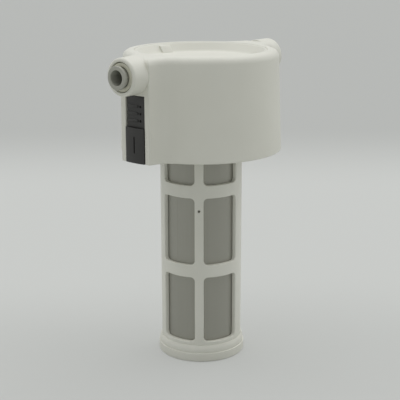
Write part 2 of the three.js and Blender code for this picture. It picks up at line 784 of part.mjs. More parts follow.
// A steel ring whose teeth reach in to the tube
function grabRing() {
  const shape = new THREE.Shape();
  shape.absarc(0, 0, pressedR, 0, 2 * Math.PI, false);
  const teeth = new THREE.Path();
  for (let i = 0; i < 2 * GRAB_TEETH; i += 1) {
    const reach = i % 2 === 0 ? GRAB_ROOT_R : TUBE_BORE_R;
    const angle = (i / GRAB_TEETH) * Math.PI;
    const half = ((Math.PI / GRAB_TEETH) * GRAB_TOOTH_SHARE) / 2;
    for (const side of [-1, 1]) {
      const x = reach * Math.cos(angle + side * half);
      const y = reach * Math.sin(angle + side * half);
      if (teeth.curves.length === 0 && i === 0 && side === -1) {
        teeth.moveTo(x, y);
      } else {
        teeth.lineTo(x, y);
      }
    }
  }
  teeth.closePath();
  shape.holes.push(teeth);
  const options = { depth: GRAB_T, bevelEnabled: false, curveSegments: SIDES_PORT / 2 };
  return closed(new THREE.ExtrudeGeometry(shape, options).translate(0, 0, grabX));
}

function spacerRing() {
  return ring(SPACER_BORE_R, pressedR, spacerX, spacerX + SPACER_T, SIDES_PORT);
}

function tubeORing() {
  const x = (tubeBoreStart + sealBoreR) / 2;
  return oRing(TUBE_ORING_R, TUBE_ORING_WIRE_R, x, SIDES_PORT);
}

// Places of the latch's pieces, on the +X side
const channelFloorX = BLOCK_REACH - CHANNEL_DEPTH;
const latchCoverX = BLOCK_REACH + LATCH_COVER_PROUD;
const latchInnerX = latchCoverX - LATCH_COVER_T;
const gripX = latchInnerX - GAP;
const padFaceX = gripX - RIB_H;
const padBackX = padFaceX - SLIDER_T;
const latchUnderZ = headBottomZ + SEAL_GAP;
const latchFloorZ = latchUnderZ + LATCH_FLOOR_T;
const cheekTopZ = latchUnderZ + LATCH_CHEEK_H;
const latchCoverTopZ = headBottomZ + LATCH_COVER_H;
const padTopZ = portZ - BOSS_R - 2 * GAP;
const padUnderZ = cheekTopZ + SLIDER_TRAVEL + SEAL_GAP;
const slotUnderZ = headBottomZ + SLOT_RISE;
const slotTopZ = slotUnderZ + SLOT_L;
const finTopZ = slotTopZ - GAP;
const finUnderZ = slotUnderZ + GAP + SLIDER_TRAVEL;
const tongueUnderZ = finUnderZ - GAP;
const armTopZ = plateUnderZ - ARM_T / 2;
const armUnderZ = armTopZ - ARM_T;
const toothX = plateR - TOOTH_T - SLIP;

function latchSlider() {
  const legX = padBackX - LEG_T + GAP;
  const tongueHalf = LATCH_COVER_HALF_W - LATCH_CHEEK_T - GAP;
  const pad = box(padBackX, padFaceX, -SLIDER_HALF_W, SLIDER_HALF_W, padUnderZ, padTopZ);
  const tongue = box(padBackX, padFaceX, -tongueHalf, tongueHalf, tongueUnderZ, padUnderZ + GAP);
  const leg = box(legX, padBackX + GAP, -LEG_HALF_W, LEG_HALF_W, armUnderZ, padUnderZ + GAP);
  const arm = box(toothX, legX + GAP, -LEG_HALF_W, LEG_HALF_W, armUnderZ, armTopZ);
  const tooth = box(toothX, toothX + TOOTH_T, -LEG_HALF_W, LEG_HALF_W, armUnderZ, armTopZ + TOOTH_H);
  const finEndX = latchInnerX + LATCH_COVER_T / 2;
  const fin = box(padFaceX - GAP, finEndX, -FIN_W / 2, FIN_W / 2, finUnderZ, finTopZ);
  const grips = [];
  const dimples = [];
  for (let i = 0; i < GRIP_RIBS; i += 1) {
    const z = padTopZ - GRIP_TOP_DROP - i * GRIP_RIB_PITCH;
    const [y0, y1] = GRIP_RIB_SPAN;
    grips.push(box(padFaceX - GAP, gripX, y0, y1, z - GRIP_RIB_T / 2, z + GRIP_RIB_T / 2));
    const from = new THREE.Vector3(padFaceX - DIMPLE_DEPTH, DIMPLE_Y, z);
    const to = new THREE.Vector3(padFaceX + CUT_OVER, DIMPLE_Y, z);
    dimples.push(rod(from, to, DIMPLE_R, SIDES_WIRE));
  }
  return cut(join(pad, tongue, leg, arm, tooth, fin, ...grips), ...dimples);
}

// The slotted cover: a crowned front, two cheeks that clip into the channel, and a spring floor
function latchCover() {
  const half = LATCH_COVER_HALF_W;
  const front = new THREE.Shape();
  front.moveTo(latchInnerX, -half);
  front.lineTo(latchCoverX - LATCH_COVER_CROWN, -half);
  front.quadraticCurveTo(latchCoverX + LATCH_COVER_CROWN, 0, latchCoverX - LATCH_COVER_CROWN, half);
  front.lineTo(latchInnerX, half);
  front.closePath();
  const height = latchCoverTopZ - latchUnderZ;
  const options = { depth: height, bevelEnabled: false, curveSegments: CROWN_STEPS };
  const plate = new THREE.ExtrudeGeometry(front, options).translate(0, 0, latchUnderZ);
  const cheekX = channelFloorX + LEG_T;
  const cheeks = [-1, 1].map((side) => {
    const y = side * (half - LATCH_CHEEK_T / 2);
    const y0 = y - LATCH_CHEEK_T / 2;
    return box(cheekX, latchInnerX + SEAL_GAP, y0, y0 + LATCH_CHEEK_T, latchUnderZ, cheekTopZ);
  });
  const floorX = padBackX + SLIP;
  const floor = box(floorX, latchInnerX + SEAL_GAP, -half, half, latchUnderZ, latchFloorZ);
  const outX = latchCoverX + CUT_OVER;
  const slot = box(latchInnerX - GAP, outX, -SLOT_W / 2, SLOT_W / 2, slotUnderZ, slotTopZ);
  const c = LATCH_COVER_CHAMFER;
  const bevel = box(-c, c, -half - GAP, half + GAP, -c, c).rotateY(Math.PI / 4);
  bevel.translate(latchCoverX + GAP / 2, 0, latchUnderZ - GAP / 2);
  return cut(join(plate, ...cheeks, floor), slot, bevel);
}

function latchSpring() {
  const x = (padBackX + SLIP + latchInnerX) / 2;
  const wound = coil(LATCH_SPRING_R, LATCH_SPRING_WIRE_R, latchFloorZ, tongueUnderZ, LATCH_SPRING_TURNS);
  return wound.translate(x, 0, 0);
}

const FINISH = {
  whitePlastic: { color: 0xd9dbd3, roughness: 0.5, metalness: 0 },
  greyPlastic: { color: 0x8c8e82, roughness: 0.45, metalness: 0 },
  blackPlastic: { color: 0x2b2b2e, roughness: 0.45, metalness: 0 },
  steelMesh: { color: 0x86857c, roughness: 0.5, metalness: 0.8 },
  steel: { color: 0xb5b6b4, roughness: 0.35, metalness: 1 },
  rubber: { color: 0x1c1c1c, roughness: 0.8, metalness: 0 },
};

function piece(name, geometry, finish) {
  const mesh = new THREE.Mesh(geometry, new THREE.MeshStandardMaterial(finish));
  mesh.name = name;
  return mesh;
}

const group = new THREE.Group();
group.add(
  piece('head_shell', headShell(), FINISH.whitePlastic),
  piece('top_cover', topCover(), FINISH.whitePlastic),
  piece('bonnet', bonnet(), FINISH.whitePlastic),
  piece('bonnet_oring', bonnetORing(), FINISH.rubber),
  piece('poppet_spring', poppetSpring(), FINISH.steel),
  piece('poppet', poppet(), FINISH.greyPlastic),
  piece('poppet_seal', poppetSeal(), FINISH.rubber),
  piece('valve_seat', valveSeat(), FINISH.greyPlastic),
  piece('seat_oring', seatORing(), FINISH.rubber),
  piece('cage_gasket', cageGasket(), FINISH.rubber),
  piece('base_plate', basePlate(), FINISH.whitePlastic),
  piece('strainer_cage', strainerCage(), FINISH.whitePlastic),
  piece('mesh_sleeve', meshSleeve(), FINISH.steelMesh),
  piece('foot_cap', footCap(), FINISH.whitePlastic),
);

// Each side holds a tube fitting, whose pieces are turned about Z and laid along X, and a latch
for (const [side, turn] of [['right', 0], ['left', Math.PI]]) {
  const fitting = new THREE.Group();
  fitting.position.z = portZ;
  fitting.rotation.y = Math.PI / 2;
  fitting.add(
    piece(`cartridge_${side}`, cartridge(), FINISH.greyPlastic),
    piece(`collet_${side}`, collet(), FINISH.greyPlastic),
    piece(`grab_ring_${side}`, grabRing(), FINISH.steel),
    piece(`spacer_ring_${side}`, spacerRing(), FINISH.whitePlastic),
    piece(`tube_oring_${side}`, tubeORing(), FINISH.rubber),
  );
  const half = new THREE.Group();
  half.rotation.z = turn;
  half.add(
    fitting,
    piece(`latch_slider_${side}`, latchSlider(), FINISH.blackPlastic),
    piece(`latch_cover_${side}`, latchCover(), FINISH.blackPlastic),
    piece(`latch_spring_${side}`, latchSpring(), FINISH.steel),
  );
  group.add(half);
}

export default group;
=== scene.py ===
# Foot valve: a white head with two push-in tube fittings and two sprung latches, over a strainer
# cage lined with steel mesh, on a flanged foot. Lengths are in millimetres until a mesh is made.
import json
import math
import bmesh
import bpy
from mathutils import Matrix, Vector

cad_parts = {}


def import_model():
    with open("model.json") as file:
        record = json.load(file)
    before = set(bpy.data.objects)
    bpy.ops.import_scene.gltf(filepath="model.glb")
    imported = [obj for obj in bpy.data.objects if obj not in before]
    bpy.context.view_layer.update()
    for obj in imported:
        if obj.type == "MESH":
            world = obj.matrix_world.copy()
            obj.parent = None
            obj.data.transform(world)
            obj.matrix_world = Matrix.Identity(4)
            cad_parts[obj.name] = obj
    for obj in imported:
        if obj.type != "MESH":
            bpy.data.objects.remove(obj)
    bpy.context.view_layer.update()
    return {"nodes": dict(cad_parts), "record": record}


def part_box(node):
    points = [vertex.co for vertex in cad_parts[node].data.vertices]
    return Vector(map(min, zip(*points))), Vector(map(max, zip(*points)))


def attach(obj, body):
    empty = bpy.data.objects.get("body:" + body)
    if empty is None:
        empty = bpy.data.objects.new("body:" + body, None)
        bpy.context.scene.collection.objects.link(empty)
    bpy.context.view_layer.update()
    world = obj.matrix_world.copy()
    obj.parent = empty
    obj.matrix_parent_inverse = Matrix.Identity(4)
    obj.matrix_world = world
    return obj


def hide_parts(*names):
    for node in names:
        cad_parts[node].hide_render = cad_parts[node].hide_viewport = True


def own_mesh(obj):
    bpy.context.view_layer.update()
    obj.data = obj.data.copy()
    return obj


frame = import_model()

MM = 0.001
DEG = math.pi / 180
SIDES = {1: "right", -1: "left"}


def span(node):
    low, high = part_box(node)
    return low / MM, high / MM


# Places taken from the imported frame
shell_low, shell_high = span("head_shell")
cover_low, cover_high = span("top_cover")
cage_low, cage_high = span("strainer_cage")
foot_high = span("foot_cap")[1]
sleeve_low, sleeve_high = span("mesh_sleeve")
collet_low, collet_high = span("collet_right")
cartridge_low, cartridge_high = span("cartridge_right")
slider_low, slider_high = span("latch_slider_right")
front_low, front_high = span("latch_cover_right")
bonnet_low, bonnet_high = span("bonnet")
seat_high = span("valve_seat")[1]
poppet_low, poppet_high = span("poppet")
washer_low, washer_high = span("poppet_seal")
gasket_low, gasket_high = span("cage_gasket")
plate_low, plate_high = span("base_plate")
grab_low, grab_high = span("grab_ring_right")
spacer_low, spacer_high = span("spacer_ring_right")

# How far a body reaches into the one that it is joined to
OVERLAP = 0.3

# Head
HEAD_R = 36.25
HEAD_DRAFT = 1.7
HEAD_LOW = shell_low.z
BOSS_RISE = 0.6
HEAD_TOP = shell_high.z - BOSS_RISE
HEAD_FILLET = 3.2
FOOT_OF_WALL_R = 0.5
SKIRT_R = 33
BLOCK_REACH = 43
BLOCK_HALF = 8.25
BLOCK_EDGE_R = 0.6
RECESS_R = cover_high.x + 0.12
POCKET_R = cover_high.x - 1.3
LEDGE_Z = cover_high.z - 1.8
DECK_Z = bonnet_high.z - 1.3
DECK_T = 2.6
BONNET_BORE_R = 16
BONNET_BORE_H = 3.2
CHAMBER_R = 15
CHAMBER_WALL = 3.2
CORE_BORE_R = cage_high.x + 0.4
CORE_R = CORE_BORE_R + 2.3
CORE_LOW = 107.6
SHOULDER_Z = 121.5
CONE_H = 4.5
SOFT_EDGE = 0.25
TAB_TURNS = [50, 110, 230, 290]
TAB_LOW = 100.9
TAB_TOP = 103.7
TAB_REACH = 2.1
TAB_HALF_TURN = 9
STIFFENER_TURNS = [35, 145, 215, 325]
STIFFENER_HALF = 0.9

# Top cover
DISH_R = 25.3
DISH_DEPTH = 3.7
DISH_BEND_R = 2.2
COVER_LIP = 0.9
COVER_PLUG_R = POCKET_R - 0.3
COVER_PLUG_H = 0.75
LUG_TURN = 78.5
LUG_HALF = 3
LUG_DROP = 0.6
LUG_T = 1.2

# Fittings
BOSS_R = 8
BOSS_END = shell_high.x
BOSS_EDGE = 1.0
BOSS_ROOT = 40.4
PORT_Z = shell_high.z - BOSS_R
SOCKET_R = 6.3
SOCKET_FLOOR = 43.4
SEAL_BORE_R = 5.05
SEAL_BORE_FLOOR = 40.9
TUBE_BORE_R = 3.35
TUBE_STOP = 37.2
PASSAGE_R = 2.3
PASSAGE_WALL = 2.1
PASSAGE_Z = 126.85
COLLET_SLEEVE_R = 4
COLLET_FLANGE_R = 5
COLLET_FLANGE_T = 1.4
GRAB_TEETH = 8

# Latches
CHANNEL_HALF = 5.4
CHANNEL_FLOOR = 37.6
CHANNEL_TOP = PORT_Z - BOSS_R - 0.3
CHANNEL_LIP = 0.3
TOOTH_HOLE_HALF = 3.5
TOOTH_HOLE_TOP = 105.8
COVER_HALF = 5.25
COVER_FACE = front_high.x
COVER_INNER = COVER_FACE - 0.75
COVER_CROWN = 0.4
CHEEK_T = 0.7
CHEEK_H = 7.8
SPRING_FLOOR_T = 1.3
SLOT_HALF = 0.31
SLOT_LOW = 101.1
SLOT_HIGH = 108.4
PAD_FACE = COVER_INNER - 0.6
PAD_BACK = PAD_FACE - 2.25
PAD_LOW = 108.8
PAD_TOP = slider_high.z
PAD_HALF = 5.1
LEG_HALF = 3.1
LEG_T = 2.1
FIN_HALF = 0.16
TONGUE_LOW = 105.1
GRIP_RIBS = 3
GRIP_PITCH = 3.05
GRIP_FIRST = PAD_TOP - 4.3
GRIP_RIB_ENDS = (-4.4, 1.4)
DIMPLE_Y = 2.75
DIMPLE_R = 0.55

# Strainer
TUBE_R = 18.6
TUBE_WALL = 1.8
WINDOW_ROWS = 3
WINDOW_W = 17.43
WINDOW_H = 31
BAND_H = 5.9
RIB_W = 4.1
WINDOW_R = 2
WINDOW_LIP = 0.35
FIRST_WINDOW = 9.4
RIB_TURN = 37
CAGE_FLANGE_T = 2
COLLAR_R = TUBE_R + 1
COLLAR_TOP = cage_low.z + 1.8
FLARE_TOP = cage_low.z + 4.2
VENT_Z = 71.5
VENT_R = 0.6

# Foot cap
FOOT_FLANGE_T = 4.2
FOOT_RIM_W = 3.6
FOOT_UNDER = 1.6
FOOT_FLOOR = 3.6
SPIGOT_WALL = 2

# Base plate
PLATE_Z = 104
PLATE_T = 3
PLATE_R = 32.6
PLATE_COLLAR_R = (18.9, 21.8)
ENTRY_R = (30.6, 33.6)
ENTRY_HALF_TURN = 10.5
LOCK_TURN = 25
NOTCH_HALF = 3.4

# Bonnet and valve seat
BONNET_R = 15.7
BONNET_HEAD_R = 17.6
BONNET_HEAD_T = 1.3
BONNET_UNDER = bonnet_high.z - 4.2
BONNET_GROOVE_R = 14.4
BONNET_GROOVE_Z = BONNET_UNDER + 1.45
BONNET_GROOVE_HALF = 0.85
STEM_BORE_R = 2.4
SEAT_R = 21.9
SEAT_T = 2.8
SEAT_BORE_R = 7.2
SEAT_LIP_R = 9.2
SEAT_GROOVE_R = (17.8, 19.5)
SEAT_GROOVE_DEPTH = 1.4
SEAT_ARMS = 3
ORING_HALF = 0.64


# Bodies
def mesh_piece(name, points, faces):
    mesh = bpy.data.meshes.new(name)
    mesh.from_pydata([Vector(p) * MM for p in points], [], faces)
    mesh.validate()
    piece = bpy.data.objects.new(name, mesh)
    bpy.context.scene.collection.objects.link(piece)
    return piece


def tidy(piece):
    """Merges doubled corners and turns the faces of a closed body outwards."""
    body = bmesh.new()
    body.from_mesh(piece.data)
    bmesh.ops.remove_doubles(body, verts=body.verts, dist=1e-6)
    bmesh.ops.dissolve_degenerate(body, edges=body.edges, dist=1e-7)
    bmesh.ops.recalc_face_normals(body, faces=body.faces)
    body.to_mesh(piece.data)
    body.free()
    return piece


def applied(piece):
    """Makes the modifiers' result the piece's own plain mesh."""
    bpy.context.view_layer.update()
    graph = bpy.context.evaluated_depsgraph_get()
    mesh = bpy.data.meshes.new_from_object(piece.evaluated_get(graph), depsgraph=graph)
    mesh.name = piece.name
    piece.modifiers.clear()
    piece.data = mesh
    return piece


def combine(piece, tools, operation):
    """Joins closed bodies to a closed body or cuts them out of it, then removes them."""
    if len(tools) > 1:
        points = []
        faces = []
        for tool in tools:
            first = len(points)
            points += [v.co / MM for v in tool.data.vertices]
            faces += [[first + i for i in face.vertices] for face in tool.data.polygons]
            bpy.data.objects.remove(tool)
        tools = [mesh_piece(f"{piece.name}.tool", points, faces)]
    change = piece.modifiers.new(operation.title(), "BOOLEAN")
    change.operation = operation
    change.solver = "EXACT"
    change.object = tools[0]
    applied(piece)
    bpy.data.objects.remove(tools[0])


def moved(piece, *steps):
    """Moves a piece's mesh by the given matrices in turn, written in millimetres."""
    for step in steps:
        matrix = step.copy()
        matrix.translation = matrix.translation * MM
        piece.data.transform(matrix)
    return piece


def about_z(degrees):
    return Matrix.Rotation(degrees * DEG, 4, "Z")


def side_turn(side):
    return about_z(0 if side > 0 else 180)


def to_port(side):
    """Lays a body that was turned about Z along the tube's line, on one side."""
    lie = Matrix.Translation((0, 0, PORT_Z)) @ Matrix.Rotation(math.pi / 2, 4, "Y")
    return side_turn(side) @ lie


def quarter_turn(steps):
    """Even angles from 0 to a right angle."""
    return [i / steps * math.pi / 2 for i in range(steps + 1)]


def rounded(corners, radii, steps=4):
    """A closed outline whose corners are rounded, each by its own radius."""
    outline = []
    count = len(corners)
    for i, corner in enumerate(corners):
        radius = radii[i] if isinstance(radii, (list, tuple)) else radii
        here = Vector(corner)
        back = Vector(corners[i - 1]) - here
        ahead = Vector(corners[(i + 1) % count]) - here
        if radius <= 0 or back.length < 1e-6 or ahead.length < 1e-6 or here.x <= 0:
            outline.append(tuple(here))
            continue
        half = back.angle(ahead) / 2
        reach = min(radius / math.tan(half), 0.48 * back.length, 0.48 * ahead.length)
        size = reach * math.tan(half)
        start = here + back.normalized() * reach
        end = here + ahead.normalized() * reach
        centre = here + (back.normalized() + ahead.normalized()).normalized() * size / math.sin(half)
        first = math.atan2(start.y - centre.y, start.x - centre.x)
        turn = math.atan2(end.y - centre.y, end.x - centre.x) - first
        turn = (turn + math.pi) % (2 * math.pi) - math.pi
        for k in range(steps + 1):
            angle = first + turn * k / steps
            outline.append((centre.x + size * math.cos(angle), centre.y + size * math.sin(angle)))
    return outline


def turned(name, outline, sides=120):
    """A closed body turned about Z from a closed outline of (radius, height) points."""
    points = []
    rings = []
    for r, z in outline:
        if r < 1e-6:
            rings.append([len(points)] * sides)
            points.append((0, 0, z))
        else:
            rings.append(list(range(len(points), len(points) + sides)))
            for i in range(sides):
                angle = 2 * math.pi * i / sides
                points.append((r * math.cos(angle), r * math.sin(angle), z))
    faces = []
    for low, high in zip(rings, rings[1:] + rings[:1]):
        for i in range(sides):
            j = (i + 1) % sides
            face = list(dict.fromkeys([low[i], low[j], high[j], high[i]]))
            if len(face) > 2:
                faces.append(face)
    return tidy(mesh_piece(name, points, faces))


def box(name, low, high):
    points = [(x, y, z) for x in (low[0], high[0]) for y in (low[1], high[1]) for z in (low[2], high[2])]
    faces = [(0, 1, 3, 2), (4, 6, 7, 5), (0, 4, 5, 1), (2, 3, 7, 6), (0, 2, 6, 4), (1, 5, 7, 3)]
    return tidy(mesh_piece(name, points, faces))


def upright(name, outline, low, high):
    """A closed body raised from a flat outline between two heights."""
    count = len(outline)
    points = [(x, y, low) for x, y in outline] + [(x, y, high) for x, y in outline]
    faces = [[i, (i + 1) % count, count + (i + 1) % count, count + i] for i in range(count)]
    faces += [list(range(count))[::-1], list(range(count, 2 * count))]
    return tidy(mesh_piece(name, points, faces))


def across(name, outline, low, high):
    """A closed body raised along Y between two places from an outline of (x, z) points."""
    body = upright(name, [(x, -z) for x, z in outline], low, high)
    return tidy(moved(body, Matrix(((1, 0, 0, 0), (0, 0, 1, 0), (0, -1, 0, 0), (0, 0, 0, 1)))))


def outwards(name, outline, low, high):
    """A closed body raised along X between two places from an outline of (y, z) points."""
    body = upright(name, outline, low, high)
    return moved(body, Matrix(((0, 0, 1, 0), (1, 0, 0, 0), (0, 1, 0, 0), (0, 0, 0, 1))))


def softened(piece, width, steps=3):
    """Rounds the sharp edges of a closed body."""
    body = bmesh.new()
    body.from_mesh(piece.data)
    bmesh.ops.dissolve_limit(body, angle_limit=DEG, verts=body.verts, edges=body.edges)
    sharp = [edge for edge in body.edges if edge.calc_face_angle(0) > 35 * DEG]
    bmesh.ops.bevel(body, geom=sharp, offset=width * MM, segments=steps, profile=0.5, affect="EDGES",
                    clamp_overlap=True)
    body.to_mesh(piece.data)
    body.free()
    return tidy(piece)


def soft_box(name, low, high, width):
    return softened(box(name, low, high), width)


def rod(name, start, end, radius, sides=48):
    axis = Vector(end) - Vector(start)
    body = turned(name, [(0, 0), (radius, 0), (radius, axis.length), (0, axis.length)], sides)
    turn = Vector((0, 0, 1)).rotation_difference(axis).to_matrix().to_4x4()
    return moved(body, turn, Matrix.Translation(start))


# Geometry Nodes: a cage wall bent from flat cells, even copies and a wound wire
def titled(name):
    return name.replace("_", " ").title()


class Plan:
    """A short way to lay nodes in a tree and join their sockets."""

    def __init__(self, tree):
        self.tree = tree

    def node(self, kind, inputs=(), **settings):
        node = self.tree.nodes.new(kind)
        for key, value in settings.items():
            setattr(node, key, value)
        for key, value in dict(inputs).items():
            if isinstance(value, bpy.types.NodeSocket):
                self.tree.links.new(value, node.inputs[key])
            else:
                node.inputs[key].default_value = value
        return node

    def out(self, kind, inputs=(), **settings):
        return self.node(kind, inputs, **settings).outputs[0]

    def math(self, operation, *values):
        return self.out("ShaderNodeMath", dict(enumerate(values)), operation=operation)


def grown(piece, layout, material, **sizes):
    """Runs a Geometry Nodes tree with named sizes on a piece and keeps the result as its plain mesh."""
    tree = bpy.data.node_groups.new(layout.__name__.replace("_", " "), "GeometryNodeTree")
    for way in ("INPUT", "OUTPUT"):
        tree.interface.new_socket(name="Geometry", in_out=way, socket_type="NodeSocketGeometry")
    values = {}
    for name, value in {**sizes, "material": MATERIALS[material]}.items():
        kind = {int: "NodeSocketInt", float: "NodeSocketFloat"}.get(type(value), "NodeSocketMaterial")
        entry = tree.interface.new_socket(name=titled(name), in_out="INPUT", socket_type=kind)
        entry.default_value = value
        values[entry.identifier] = value
    plan = Plan(tree)
    ins = plan.node("NodeGroupInput").outputs
    real = plan.out("GeometryNodeRealizeInstances", {"Geometry": layout(plan, ins)})
    coat = plan.out("GeometryNodeSetMaterial", {"Geometry": real, "Material": ins["Material"]})
    plan.node("NodeGroupOutput", {"Geometry": coat})
    change = piece.modifiers.new(tree.name, "NODES")
    change.node_group = tree
    for identifier, value in values.items():
        change[identifier] = value
    return applied(piece)


def cage_wall_from_cells(plan, ins):
    """Sets copies of a flat cell in rows and columns and bends them into a closed tube."""
    width = plan.math("DIVIDE", plan.math("MULTIPLY", ins["Tube Radius"], 2 * math.pi), ins["Columns"])
    size_x = plan.math("MULTIPLY", width, plan.math("SUBTRACT", ins["Columns"], 1))
    size_y = plan.math("MULTIPLY", ins["Row Pitch"], plan.math("SUBTRACT", ins["Rows"], 1))
    grid = plan.out("GeometryNodeMeshGrid", {
        "Size X": size_x, "Size Y": size_y, "Vertices X": ins["Columns"], "Vertices Y": ins["Rows"]})
    stand = plan.out("GeometryNodeTransform", {"Geometry": grid, "Rotation": (math.pi / 2, 0, 0)})
    cells = plan.out("GeometryNodeInstanceOnPoints", {"Points": stand, "Instance": ins["Geometry"]})
    wall = plan.out("GeometryNodeRealizeInstances", {"Geometry": cells})
    place = plan.node("ShaderNodeSeparateXYZ", {"Vector": plan.out("GeometryNodeInputPosition")}).outputs
    turn = plan.math("ADD", plan.math("DIVIDE", place["X"], ins["Tube Radius"]), ins["Turn"])
    r = plan.math("ADD", ins["Tube Radius"], place["Y"])
    bent = plan.out("ShaderNodeCombineXYZ", {
        "X": plan.math("MULTIPLY", r, plan.math("COSINE", turn)),
        "Y": plan.math("MULTIPLY", r, plan.math("SINE", turn)),
        "Z": plan.math("ADD", place["Z"], ins["Middle Height"])})
    wrap = plan.out("GeometryNodeSetPosition", {"Geometry": wall, "Position": bent})
    return plan.out("GeometryNodeMergeByDistance", {"Geometry": wrap, "Distance": 0.02 * MM})


def copies_round_the_axis(plan, ins):
    """Repeats a body at even turns round the Z axis."""
    points = plan.out("GeometryNodeMeshLine", {"Count": ins["Count"], "Offset": (0, 0, 0)})
    step = plan.math("DIVIDE", 2 * math.pi, ins["Count"])
    turn = plan.math("MULTIPLY", plan.out("GeometryNodeInputIndex"), step)
    spin = plan.out("ShaderNodeCombineXYZ", {"Z": turn})
    return plan.out("GeometryNodeInstanceOnPoints", {
        "Points": points, "Instance": ins["Geometry"], "Rotation": spin})


def copies_down_a_line(plan, ins):
    """Repeats a body at an even pitch down a line."""
    step = plan.out("ShaderNodeCombineXYZ", {"Z": plan.math("MULTIPLY", ins["Pitch"], -1)})
    points = plan.out("GeometryNodeMeshLine", {"Count": ins["Count"], "Offset": step})
    return plan.out("GeometryNodeInstanceOnPoints", {"Points": points, "Instance": ins["Geometry"]})


def coil_spring(plan, ins):
    """A round wire wound up the Z axis, with closed ends."""
    path = plan.out("GeometryNodeCurveSpiral", {
        "Resolution": ins["Points Per Turn"], "Rotations": ins["Turns"], "Start Radius": ins["Coil Radius"],
        "End Radius": ins["Coil Radius"], "Height": ins["Height"]})
    wire = plan.out("GeometryNodeCurvePrimitiveCircle", {"Resolution": 10, "Radius": ins["Wire Radius"]})
    tube = plan.out("GeometryNodeCurveToMesh", {"Curve": path, "Profile Curve": wire, "Fill Caps": True})
    lift = plan.out("ShaderNodeCombineXYZ", {"X": ins["Place X"], "Z": ins["Place Z"]})
    return plan.out("GeometryNodeTransform", {"Geometry": tube, "Translation": lift})


def finished(piece, node, slot, body="head", material=None, sharp=32):
    """Smooths a piece, hides the node that it stands in for, gives it its material and parents it to the body
    that it moves with.
    """
    tidy(piece)
    piece.data.shade_smooth()
    piece.data.set_sharp_from_angle(angle=sharp * DEG)
    piece.data.materials.clear()
    piece.data.materials.append(MATERIALS[material or slot])
    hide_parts(node)
    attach(piece, body)


# Head and its cover
def head_outline(inset, z):
    """A round body, narrower with height, whose two fitting blocks blend into it by hollow arcs."""
    body_r = HEAD_R - HEAD_DRAFT * (z - HEAD_LOW) / (HEAD_TOP - HEAD_LOW)
    hollow_r = (BLOCK_REACH ** 2 + BLOCK_HALF ** 2 - body_r ** 2) / (2 * (body_r - BLOCK_HALF))
    centre_y = BLOCK_HALF + hollow_r
    meet = math.atan2(centre_y, BLOCK_REACH)
    arc_r = hollow_r + inset
    face_x = BLOCK_REACH - inset
    edge_x = face_x - BLOCK_EDGE_R
    edge_y = centre_y - math.sqrt((arc_r + BLOCK_EDGE_R) ** 2 - (BLOCK_REACH - edge_x) ** 2)
    edge_end = math.atan2(centre_y - edge_y, BLOCK_REACH - edge_x)
    quarter = [(face_x, edge_y * i / 6) for i in range(6)]
    for i in range(6):
        angle = edge_end * i / 5
        quarter.append((edge_x + BLOCK_EDGE_R * math.cos(angle), edge_y + BLOCK_EDGE_R * math.sin(angle)))
    start = math.pi / 2 - edge_end
    end = math.pi / 2 - meet
    for i in range(1, 15):
        angle = start + (end - start) * i / 14
        quarter.append((BLOCK_REACH - arc_r * math.sin(angle), centre_y - arc_r * math.cos(angle)))
    for i in range(1, 25):
        angle = meet + (math.pi / 2 - meet) * i / 24
        quarter.append(((body_r - inset) * math.cos(angle), (body_r - inset) * math.sin(angle)))
    half = quarter + [(-x, y) for x, y in quarter[-2::-1]]
    return half + [(-x, -y) for x, y in half[1:-1]]


def head_blank():
    """The head before its fittings: every ring has the same count of points round the axis."""
    plain = head_outline(0, (HEAD_LOW + HEAD_TOP) / 2)
    turns = [math.atan2(y, x) for x, y in plain]

    def outline_ring(inset, z):
        return [(x, y, z) for x, y in head_outline(inset, z)]

    def circle_ring(r, z):
        return [(r * math.cos(a), r * math.sin(a), z) for a in turns]

    def rim_ring(share):
        outer = outline_ring(HEAD_FILLET, HEAD_TOP)
        inner = circle_ring(RECESS_R + SOFT_EDGE, HEAD_TOP)
        return [tuple(Vector(a).lerp(Vector(b), share)) for a, b in zip(outer, inner)]

    rings = []
    for angle in quarter_turn(4):
        inset = FOOT_OF_WALL_R * (1 - math.sin(angle))
        rings.append(outline_ring(inset, HEAD_LOW + FOOT_OF_WALL_R * (1 - math.cos(angle))))
    rings.append(outline_ring(0, HEAD_LOW + 2 * FOOT_OF_WALL_R))
    rings.append(outline_ring(0, HEAD_TOP - HEAD_FILLET - FOOT_OF_WALL_R))
    for angle in quarter_turn(12):
        inset = HEAD_FILLET * (1 - math.cos(angle))
        rings.append(outline_ring(inset, HEAD_TOP - HEAD_FILLET * (1 - math.sin(angle))))
    rings += [rim_ring(0.12), rim_ring(0.88)]
    bore_floor = DECK_Z - BONNET_BORE_H
    core = [
        (RECESS_R, HEAD_TOP), (RECESS_R, LEDGE_Z), (POCKET_R, LEDGE_Z), (POCKET_R, DECK_Z),
        (BONNET_BORE_R, DECK_Z), (BONNET_BORE_R, bore_floor), (CHAMBER_R, bore_floor),
        (CHAMBER_R, SHOULDER_Z), (CORE_BORE_R, SHOULDER_Z), (CORE_BORE_R, CORE_LOW),
        (CORE_R, CORE_LOW), (CORE_R, SHOULDER_Z), (CHAMBER_R + CHAMBER_WALL, SHOULDER_Z + CONE_H),
        (CHAMBER_R + CHAMBER_WALL, DECK_Z - DECK_T), (SKIRT_R, DECK_Z - DECK_T), (SKIRT_R, HEAD_LOW),
        (SKIRT_R + 1.5, HEAD_LOW), (RECESS_R + 1.5, HEAD_TOP),
    ]
    radii = [SOFT_EDGE] * 14 + [1, SOFT_EDGE, 0, 0]
    rings += [circle_ring(r, z) for r, z in rounded(core, radii, 3)[:-2]]
    count = len(turns)
    points = [point for ring in rings for point in ring]
    faces = []
    for level in range(len(rings)):
        low = level * count
        high = (level + 1) % len(rings) * count
        faces += [(low + i, low + (i + 1) % count, high + (i + 1) % count, high + i) for i in range(count)]
    return tidy(mesh_piece("head_shell_body", points, faces))


